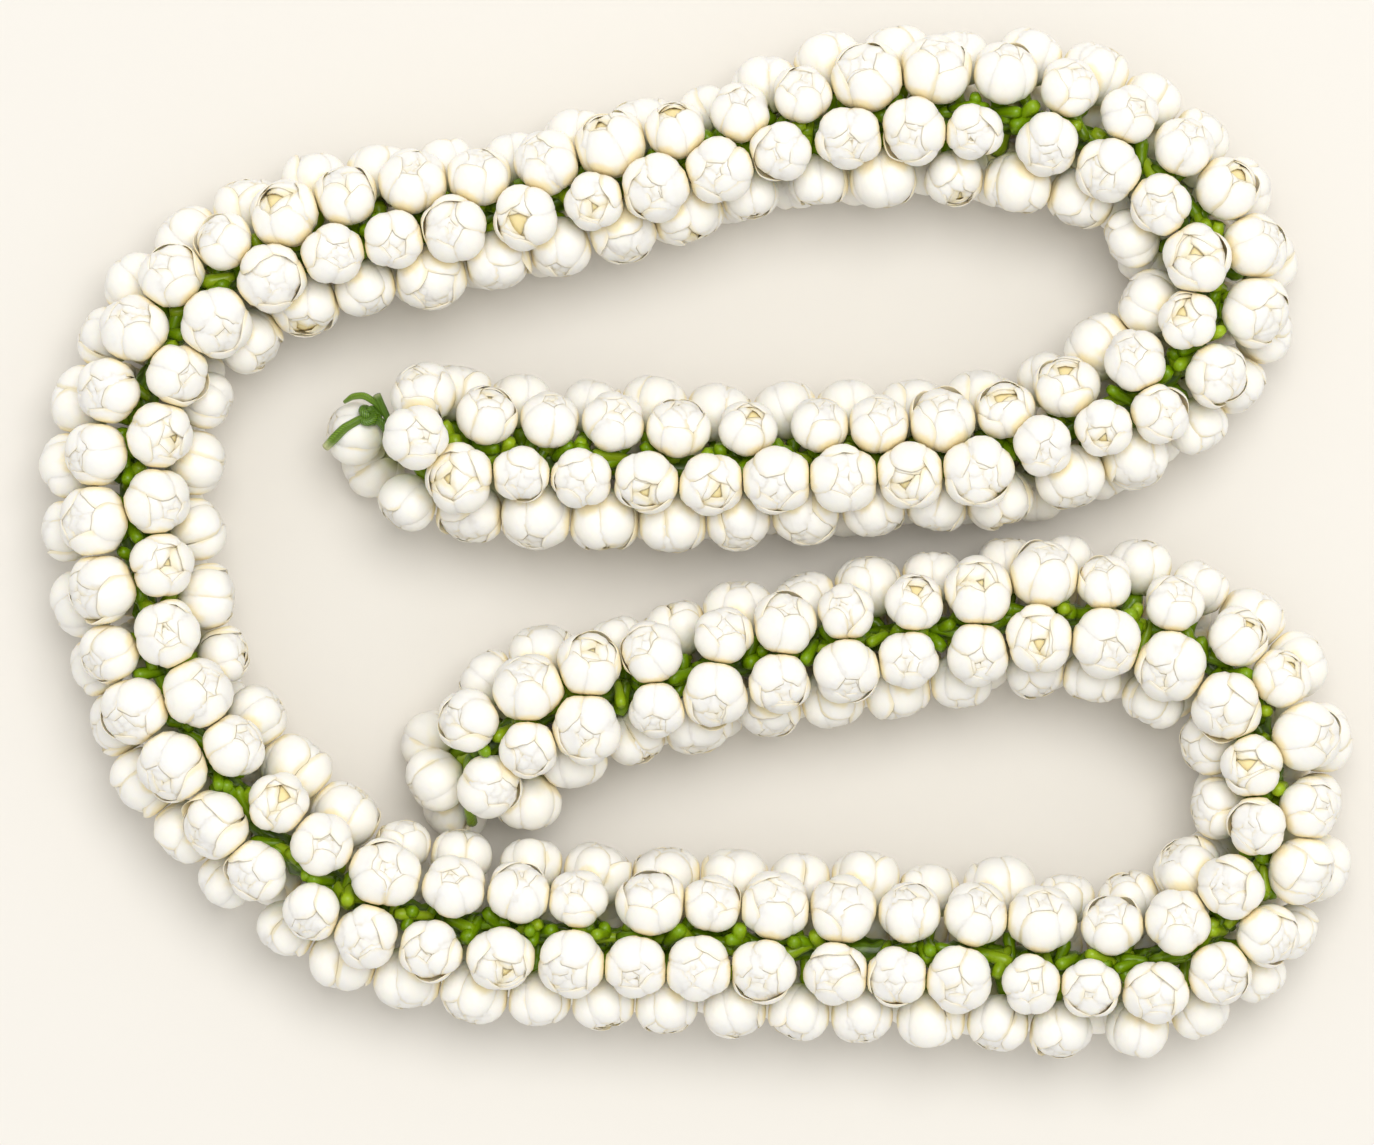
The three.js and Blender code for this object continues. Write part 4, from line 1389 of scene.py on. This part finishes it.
@dataclass
class Greenery:
    """The green stalks, their cut stubs, and the tied bundle that they form round the string.

    Lengths are in millimetres. A pair is the least and the greatest value where nothing else is said.

    Attributes:
        profile: Radius of a stalk from bundle to bud, evenly spaced.
        sides: Corners round a stalk.
        foot: Distance of a stalk's foot from the string.
        foot_wander: How far along the string it can stand from its bud.
        upright: How much a stalk's lean along the string is taken out at its foot.
        handle: Length of a curve's handles, as a share of the way from foot to bud.
        base: Where the stalk enters the bud, as a share of the bud's radius from its middle.
        thickness: A stalk's thickness, in the profile's.
        stub_profile: Radius of a stub from foot to cut end, evenly spaced.
        stub_thickness: Its thickness, in the profile's.
        stub_spacing: Distance between the stubs that are tried.
        stub_numbers: Where the stubs' numbers start, and how many there are in a millimetre.
        stub_base: Height of a stub's foot above the string.
        stub_rise: Slope of a stub, in degrees.
        stub_flatness: Power of the draw for its slope; the further above 1, the more stubs lie flat.
        stub_reach: Length of a stub.
        stub_back: Share of it that lies behind its foot.
        stub_bend: Strength of a stub's bend, whose middle moves by an eighth of it at most.
        stub_room: Least room between a kept stub's outer half and every bud.
        stub_pressed: How near a bud's middle a stub's surface may come, in the bud's radius.
        end_room: How far the feet of stalks, and those of stubs, keep from the string's ends.
        bundle_radius: Radius of the tied bundle.
        bundle_grid: Rings along a spray's bundle, and corners in each.
        lobes: Stalks that show side by side in the bundle.
        lobe_depth: How deep the furrows between them are.
        lobe_twist: Way along the string in which they turn by one radian.
        painted_furrow_shade: How much greener the ridges are than the furrows, which is painted shade.
        bundle_waves: Height, as a share, and radians in a millimetre of its two slow waves.
        bundle_lean: How many of the second wave go round the string.
        bundle_end: Size of its first and last ring.
        bundle_age: Age of its green.
    """

    profile: tuple[float, ...] = (1.0, 1.2, 1.25, 1.3, 1.45, 1.75, 1.7, 1.45, 1.2)
    sides: int = 8
    foot: float = 1.6
    foot_wander: float = 2.2
    upright: float = 0.7
    handle: float = 0.4
    base: float = 0.84
    thickness: tuple[float, float] = (0.92, 1.12)
    stub_profile: tuple[float, ...] = (0.8, 1.2, 1.22, 1.3, 1.5, 1.55, 1.1)
    stub_thickness: tuple[float, float] = (0.82, 1.07)
    stub_spacing: float = 1.25
    stub_numbers: tuple[int, int] = (1000, 8)
    stub_base: tuple[float, float] = (3.0, 6.0)
    stub_rise: tuple[float, float] = (2, 65)
    stub_flatness: float = 1.6
    stub_reach: tuple[float, float] = (5.5, 9.0)
    stub_back: float = 0.25
    stub_bend: float = 2.0
    stub_room: float = 0.5
    stub_pressed: float = 0.97
    end_room: tuple[float, float] = (1, 2)
    bundle_radius: float = 2.9
    bundle_grid: tuple[int, int] = (26, 20)
    lobes: int = 5
    lobe_depth: float = 0.7
    lobe_twist: float = 9
    painted_furrow_shade: float = 0.35
    bundle_waves: tuple[tuple[float, float], tuple[float, float]] = ((0.12, 1.7), (0.1, 0.9))
    bundle_lean: float = 3
    bundle_end: float = 0.85
    bundle_age: float = 0.1

    def stalks(self, buds: Buds, course: Course) -> Surface:
        """One stalk for each bud, curving from the bundle into the bud's axis.

        The path is the cubic with its ends at foot and bud, and its two handles straight out from
        the string and straight back from the bud.

        Args:
            buds: The buds.
            course: The course.

        Returns:
            The stalks.
        """
        length = buds.length + self.foot_wander * signed_draw(buds.number, Drawn.FOOT)
        foot = course.at(np.clip(length, self.end_room[0], course.total - self.end_room[0]))
        outward = buds.middle - foot.point
        outward = unit(outward - foot.along * dot(outward, foot.along) * self.upright)
        start = foot.point + outward * self.foot
        end = buds.middle - buds.axis * (self.base * buds.radius)[:, None]
        handle = self.handle * np.linalg.norm(end - start, axis=1, keepdims=True)
        t = np.linspace(0, 1, len(self.profile))[None, :, None]
        points = [start, start + outward * handle, end - buds.axis * handle, end]
        weights = [(1 - t) ** 3, 3 * t * (1 - t) ** 2, 3 * t**2 * (1 - t), t**3]
        path = sum(weight * point[:, None] for weight, point in zip(weights, points))
        thickness = between(self.thickness, draw(buds.number, Drawn.STALK_THICKNESS))
        radii = np.array(self.profile) * thickness[:, None]
        return tubes(path, radii, foot.along, self.sides, self.aged(draw(buds.number, Drawn.STALK_AGE)))

    @staticmethod
    def aged(age: Array) -> Array:
        """The tones of stalks of the given ages."""
        return np.stack([0 * age, 0 * age, age], -1)

    def stubs(self, start: float, end: float, every: Buds, course: Course) -> Surface:
        """Short stubs of cut stalks, which stand in the gaps between the two top rows.

        Many are tried, evenly along the spray with their own heading and rise, and those with room
        round their outer half are kept. The path is straight, bent by the bend times t (1 - t).

        Args:
            start: Length along the course at which the spray begins.
            end: Length at which it ends.
            every: All the buds.
            course: The course.

        Returns:
            The stubs.
        """
        length = np.arange(start, end, self.stub_spacing)
        first_number, in_a_millimetre = self.stub_numbers
        number = np.round(length * in_a_millimetre) + first_number
        foot = course.at(np.clip(length, self.end_room[1], course.total - self.end_room[1]))
        roll = foot.roll[:, None]
        upright = UP * np.cos(roll) + foot.right * np.sin(roll)
        beside = foot.right * np.cos(roll) - UP * np.sin(roll)
        heading = TURN * draw(number, Drawn.STUB_HEADING)[:, None]
        rise = np.radians(between(self.stub_rise, draw(number, Drawn.STUB_RISE) ** self.stub_flatness))
        level = beside * np.cos(heading) + foot.along * np.sin(heading)
        way = level * np.cos(rise)[:, None] + upright * np.sin(rise)[:, None]
        base = between(self.stub_base, draw(number, Drawn.STUB_BASE))[:, None]
        reach = between(self.stub_reach, draw(number, Drawn.STUB_REACH))[:, None]
        bend = upright * self.stub_bend * (0.5 - draw(number, Drawn.STUB_BEND))[:, None]
        t = np.linspace(0, 1, len(self.stub_profile))[None, :, None]
        first = foot.point + upright * base - level * (self.stub_back * reach)
        path = first[:, None] + way[:, None] * reach[:, None] * t + bend[:, None] * t * (1 - t)
        outer = path[:, len(self.stub_profile) // 2 :]
        apart = np.linalg.norm(outer[:, :, None] - every.middle[None, None], axis=3) - every.radius
        free = apart.min(axis=(1, 2)) > self.stub_room
        thickness = between(self.stub_thickness, draw(number, Drawn.STUB_THICKNESS))
        radii = np.array(self.stub_profile) * thickness[:, None]
        tones = self.aged(draw(number, Drawn.STUB_AGE))
        surface = tubes(path[free], radii[free], foot.along[free], self.sides, tones[free])
        surface.corners = self.kept_off(surface.corners, every)
        return surface

    def kept_off(self, corners: Array, every: Buds) -> Array:
        """Corners that would lie inside a bud, moved straight out to about its surface.

        Moving out of one bud can lead into the next, so it is done twice.

        Args:
            corners: The corners.
            every: All the buds.

        Returns:
            The moved corners.
        """
        rows = np.arange(len(corners))
        for _ in range(2):
            apart = corners[:, None] - every.middle[None]
            distance = np.linalg.norm(apart, axis=2)
            nearest = np.argmin(distance - every.radius, axis=1)
            room = every.radius[nearest] * self.stub_pressed - distance[rows, nearest]
            way = apart[rows, nearest] / distance[rows, nearest][:, None]
            corners = corners + way * np.maximum(room, 0)[:, None]
        return corners

    def bundle(self, start: float, end: float, course: Course) -> Surface:
        """The tied bundle of a spray: a furrowed tube whose furrows turn slowly round the string.

        The furrows are |sin(lobes / 2 (turn + length / twist))|, and two slow waves, one of them
        leaning, make it uneven. The first and last rings are a little smaller.

        Args:
            start: Length along the course at which it begins.
            end: Length at which it ends.
            course: The course.

        Returns:
            The bundle.
        """
        points, around = self.bundle_grid
        length = np.linspace(start, end, points)
        place = course.at(length)
        radii = np.full((1, points), self.bundle_radius)
        surface = tubes(place.point[None], radii, UP[None], around, self.aged(np.array([self.bundle_age])))
        ring = surface.corners[: points * around].reshape(points, around, 3)
        turn = np.arange(around) * TURN / around
        furrow = np.abs(np.sin(0.5 * self.lobes * (turn[None] + length[:, None] / self.lobe_twist)))
        (high, fast), (other_high, other_fast) = self.bundle_waves
        leaning = length[:, None] * other_fast + self.bundle_lean * turn[None]
        uneven = high * np.sin(length * fast)[:, None] + other_high * np.sin(leaning)
        size = 1 - self.lobe_depth / self.bundle_radius * (1 - furrow) + uneven
        size[[0, -1]] *= self.bundle_end
        ring = place.point[:, None] + (ring - place.point[:, None]) * size[..., None]
        surface.corners[: points * around] = ring.reshape(-1, 3)
        # Painted shade: the furrows darker green than the ridges.
        surface.tones[:, 0] = self.painted_furrow_shade * np.append((furrow**2).ravel(), [0, 0])
        return surface


# ---- String -------------------------------------------------------------------------------------


@dataclass(frozen=True)
class FreeEnd:
    """A stretch of string that shows, in millimetres, in the course's own x and y.

    Attributes:
        points: Its way, given point by point.
        radii: Its radii, evenly spaced along it.
        frayed: How pale the fibre is at its tip.
        fresh: How light and yellow its green is.
        steps: Points of the finished path.
        window: Width, in those points, of the window that rounds its corners.
        sides: Corners round it.
        hint: A direction that it never runs in.
        map_length: How long it is in the map of its fibre.
    """

    points: tuple[Point, ...]
    radii: tuple[float, ...]
    frayed: float
    fresh: float
    steps: int = 41
    window: int = 13
    sides: int = 10
    hint: Point = (0.2, 0.3, 1.0)
    map_length: float = 6.0

    def surface(self) -> Surface:
        """The tube of string.

        The path goes evenly from point to point, then each place is the mean of a window of its
        neighbours, which rounds its corners. Its ends are kept by turning the path over there.

        Returns:
            The tube.
        """
        route = np.array(self.points, dtype=float)
        at = np.linspace(0, len(route) - 1, self.steps)
        path = np.stack([np.interp(at, np.arange(len(route)), route[:, k]) for k in range(3)], -1)
        kernel = np.hanning(self.window)[1:-1]
        kernel = kernel / kernel.sum()
        half = len(kernel) // 2
        lead_in = 2 * path[0] - path[half:0:-1]
        lead_out = 2 * path[-1] - path[-2 : -half - 2 : -1]
        padded = np.vstack([lead_in, path, lead_out])
        path = np.stack([np.convolve(padded[:, k], kernel, mode="valid") for k in range(3)], -1)
        size = np.interp(np.linspace(0, 1, len(path)), np.linspace(0, 1, len(self.radii)), self.radii)
        surface = tubes(path[None], size[None], np.array([self.hint]), self.sides, np.zeros((1, 3)))
        surface.tones[:, 2] = self.frayed * smooth(0.85, 1.0, surface.tones[:, 0])
        surface.tones[:, 1] = self.fresh * smooth(0.0, 0.5, surface.tones[:, 0])
        surface.places = surface.places * np.array([1.0, self.map_length])
        return surface


@dataclass
class TiedString:
    """The string with its knot and free ends, in millimetres, in the course's own x and y.

    Attributes:
        radius: Radius inside the bundle.
        inside_points: Points along it there.
        inside_sides: Corners round it there.
        inside_map: How long it is there in the map of its fibre.
        knot_at: Middle of the knot.
        knot_radius: Radius of the ring that the knot winds round.
        knot_strand: Radius of the string in the knot.
        knot_tilt: Turns of the knot about X and then Y, in degrees.
        knot_points: Points along it.
        knot_sides: Corners round it.
        knot_map: How long it is in the map of its fibre.
        lead: Way from the bundle's end to the knot.
        short_tail: Free end past the knot.
        stub: Short cut end beside it.
        long_tail: The other free end past the knot.
        loose_tail: Way of the string's other end.
    """

    radius: float = 0.8
    inside_points: int = 401
    inside_sides: int = 8
    inside_map: float = 400.0
    knot_at: Point = (-67.9, 26.2, 23)
    knot_radius: float = 1.25
    knot_strand: float = 0.92
    knot_tilt: tuple[float, float] = (-32, 20)
    knot_points: int = 73
    knot_sides: int = 10
    knot_map: float = 12.0
    lead: FreeEnd = FreeEnd(
        points=(
            (-61.4, 20.5, 17.9),
            (-62.9, 20.8, 18.2),
            (-64.2, 22.8, 21),
            (-65.4, 24.8, 22.6),
            (-67.9, 26.2, 23),
        ),
        radii=(0.8, 0.9, 1.0, 0.95),
        frayed=0.0,
        fresh=0.0,
    )
    short_tail: FreeEnd = FreeEnd(
        points=(
            (-64.8, 26.4, 22.4),
            (-66.4, 28.8, 23.9),
            (-69.0, 30.4, 24.3),
            (-71.4, 30.2, 23.6),
            (-73.2, 29, 22.3),
        ),
        radii=(0.6, 0.72, 0.75, 0.7, 0.4),
        frayed=0.1,
        fresh=0.45,
    )
    stub: FreeEnd = FreeEnd(
        points=((-64.0, 25.4, 22.6), (-65.3, 28.2, 23.7), (-66.3, 30.5, 24.6)),
        radii=(0.7, 0.8, 0.82, 0.85),
        frayed=0.3,
        fresh=0.1,
    )
    long_tail: FreeEnd = FreeEnd(
        points=((-67.9, 26.2, 23), (-70.2, 25.2, 23.6), (-73.2, 23.5, 23.8), (-77.2, 19.5, 20.9)),
        radii=(0.8, 0.85, 0.9, 0.92, 1.0, 1.05, 0.9),
        frayed=0.8,
        fresh=0.35,
    )
    loose_tail: FreeEnd = FreeEnd(
        points=(
            (-45.93, -45.46, 17.9),
            (-47.1, -46.3, 18.3),
            (-47.2, -48.6, 20.4),
            (-47.3, -52.3, 20.6),
            (-47.2, -56, 17.5),
            (-46.6, -59.6, 12),
        ),
        radii=(0.9, 1.25, 1.2, 0.98, 1.0, 1.05, 1.2, 1.2),
        frayed=0.05,
        fresh=1.0,
    )

    def knot(self) -> Surface:
        """The overhand knot: a closed trefoil that winds three times round a ring in two turns.

        At turn u of 4 pi, the distance from the middle is radius (2 + cos 1.5u) / 2 and the height
        is radius sin 1.5u / 2. It is then turned about X and Y and moved to its place.

        Returns:
            The knot.
        """
        turn = np.linspace(0, 2 * TURN, self.knot_points)
        away = self.knot_radius * (2 + np.cos(1.5 * turn)) / 2
        height = self.knot_radius * np.sin(1.5 * turn) / 2
        path = np.stack([away * np.cos(turn), away * np.sin(turn), height], -1)
        about_x, about_y = np.radians(self.knot_tilt)
        cos_x, sin_x, cos_y, sin_y = np.cos(about_x), np.sin(about_x), np.cos(about_y), np.sin(about_y)
        turned_x = np.array([[1, 0, 0], [0, cos_x, -sin_x], [0, sin_x, cos_x]])
        turned = np.array([[cos_y, 0, sin_y], [0, 1, 0], [-sin_y, 0, cos_y]]) @ turned_x
        path = path @ turned.T + np.array(self.knot_at)
        size = np.full((1, len(path)), self.knot_strand)
        surface = tubes(path[None], size, (turned @ UP)[None], self.knot_sides, np.zeros((1, 3)))
        surface.places = surface.places * np.array([1.0, self.knot_map])
        return surface

    def build(self, course: Course) -> Surface:
        """The whole string: the stretch inside the strand, the free ends and the knot.

        Args:
            course: The course.

        Returns:
            The string.
        """
        free_ends = (self.lead, self.short_tail, self.stub, self.long_tail, self.loose_tail)
        ends = [*(end.surface() for end in free_ends), self.knot()]
        for end in ends:
            end.corners = end.corners - np.array([*course.middle, 0.0])
        path = course.at(np.linspace(0, course.total, self.inside_points)).point
        size = np.full((1, len(path)), self.radius)
        inside = tubes(path[None], size, UP[None], self.inside_sides, np.zeros((1, 3)))
        inside.places = inside.places * np.array([1.0, self.inside_map])
        return Surface.joined([inside, *ends])


# ---- Garland ------------------------------------------------------------------------------------


@dataclass
class Garland:
    """The whole garland: course, buds, petals, greenery and string.

    Attributes:
        course: The string's course.
        rule: How the buds are placed.
        blossom: Their petals.
        greenery: Stalks, stubs and bundle.
        tied_string: The string.
        bundle_overlap: How far the bundles of neighbouring sprays run into each other, in
            millimetres, so that no gap shows.
    """

    course: Course
    rule: BudRule
    blossom: Blossom
    greenery: Greenery
    tied_string: TiedString
    bundle_overlap: float = 0.4

    def build(self) -> None:
        """Makes every piece and hides the solid of the frame that it stands for."""
        petal, stalk, fibre = WaxyPetal().material(), FreshStalk().material(), PlantFibre().material()
        buds = self.rule.settled(self.course)
        length = self.course.total / SPRAYS
        spray = np.clip(np.floor(buds.length / length), 0, SPRAYS - 1).astype(int)
        for number in range(SPRAYS):
            label = f"{number + 1:02d}"
            mine = buds.pick(spray == number)
            surface = self.blossom.spray(mine, buds)
            self.add(surface, f"petals_{label}", petal, f"buds_{label}", "petal")
            start, end = number * length, number * length + length
            greens = [
                self.greenery.stalks(mine, self.course),
                self.greenery.stubs(start, end, buds, self.course),
                self.greenery.bundle(start - self.bundle_overlap, end + self.bundle_overlap, self.course),
            ]
            self.add(Surface.joined(greens), f"greens_{label}", stalk, f"stalks_{label}", "stalk")
        self.add(self.tied_string.build(self.course), "tied_string", fibre, "string", "string")

    @staticmethod
    def add(surface: Surface, name: str, material: bpy.types.Material, node: str, slot: str) -> None:
        """Makes a piece, lets it ride on the part, hides the node that it stands for, and logs it.

        Args:
            surface: Its surface.
            name: Its name.
            material: Its finish.
            node: The node that it stands for.
            slot: Not used.
        """
        piece = surface.as_object(name, material)
        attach(piece, "root")
        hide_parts(node)
        log.info("%s: %d triangles", name, len(surface.faces))


# ---- Table, lights and camera -------------------------------------------------------------------


@dataclass(frozen=True)
class Studio:
    """Pale table, soft light from above and a little beyond, and a camera that looks straight down.

    Attributes:
        view_width: Width of the view at the buds' height, in metres.
        view_middle: Where the view's middle falls on the table, in metres.
        view_height: Height at which the view has that width.
        distance: From there to the camera.
        sensor: The camera's sensor width in millimetres.
        sight: How far the camera sees, in metres.
        table_half: Half the table's width, in metres.
        lamp_place: Where the lamp hangs, in metres.
        lamp_size: How far it is across, in metres.
        lamp_watts: Its power.
        lamp_colour: Its colour, a hardly warm white.
        room_strength: Brightness of the room all round.
        room_colour: Its colour.
    """

    view_width: float = 0.2885
    view_middle: tuple[float, float] = (-0.00188, -0.00661)
    view_height: float = 0.025
    distance: float = 1.9
    sensor: float = 36.0
    sight: float = 20
    table_half: float = 3.0
    lamp_place: Point = (0.4, 0.8, 2.9)
    lamp_size: float = 2.0
    lamp_watts: float = 54
    lamp_colour: str = "#FFFEFC"
    room_strength: float = 0.73
    room_colour: str = "#FFFFFE"

    def camera(self) -> None:
        """The camera, its top towards +Y."""
        data = bpy.data.cameras.new("camera")
        data.sensor_width = self.sensor
        data.lens = self.sensor * self.distance / self.view_width
        data.clip_end = self.sight
        camera = bpy.data.objects.new("camera", data)
        camera.location = (*self.view_middle, self.view_height + self.distance)
        bpy.context.scene.collection.objects.link(camera)
        bpy.context.scene.camera = camera

    def lamp(self) -> None:
        """A round soft lamp that faces the garland."""
        data = bpy.data.lights.new("overhead", "AREA")
        data.shape = "DISK"
        data.size = self.lamp_size
        data.energy = self.lamp_watts
        data.color = linear(self.lamp_colour)[:3]
        lamp = bpy.data.objects.new("overhead", data)
        lamp.location = self.lamp_place
        lamp.rotation_euler = (-Vector(self.lamp_place)).to_track_quat("-Z", "Y").to_euler()
        bpy.context.scene.collection.objects.link(lamp)

    def table(self) -> None:
        """The table top, a plain sheet under the garland."""
        half = self.table_half
        corners = [(-half, -half, 0), (half, -half, 0), (half, half, 0), (-half, half, 0)]
        mesh = bpy.data.meshes.new("table_top")
        mesh.from_pydata(corners, [], [(0, 1, 2, 3)])
        mesh.materials.append(PaleTable().material())
        table = bpy.data.objects.new("table_top", mesh)
        bpy.context.scene.collection.objects.link(table)

    def build(self) -> None:
        """Sets up everything round the garland."""
        self.table()
        self.lamp()
        world = bpy.data.worlds.new("room")
        world.use_nodes = True
        background = world.node_tree.nodes["Background"]
        background.inputs["Color"].default_value = linear(self.room_colour)
        background.inputs["Strength"].default_value = self.room_strength
        bpy.context.scene.world = world
        bpy.context.scene.view_settings.view_transform = "Standard"


def main() -> None:
    """Builds the camera and table, then the garland."""
    logging.basicConfig(level=logging.INFO, format="%(message)s")
    studio = Studio()
    studio.camera()
    studio.build()
    garland = Garland(Course(), BudRule(), Blossom(), Greenery(), TiedString())
    garland.build()


if __name__ == "__main__":
    main()
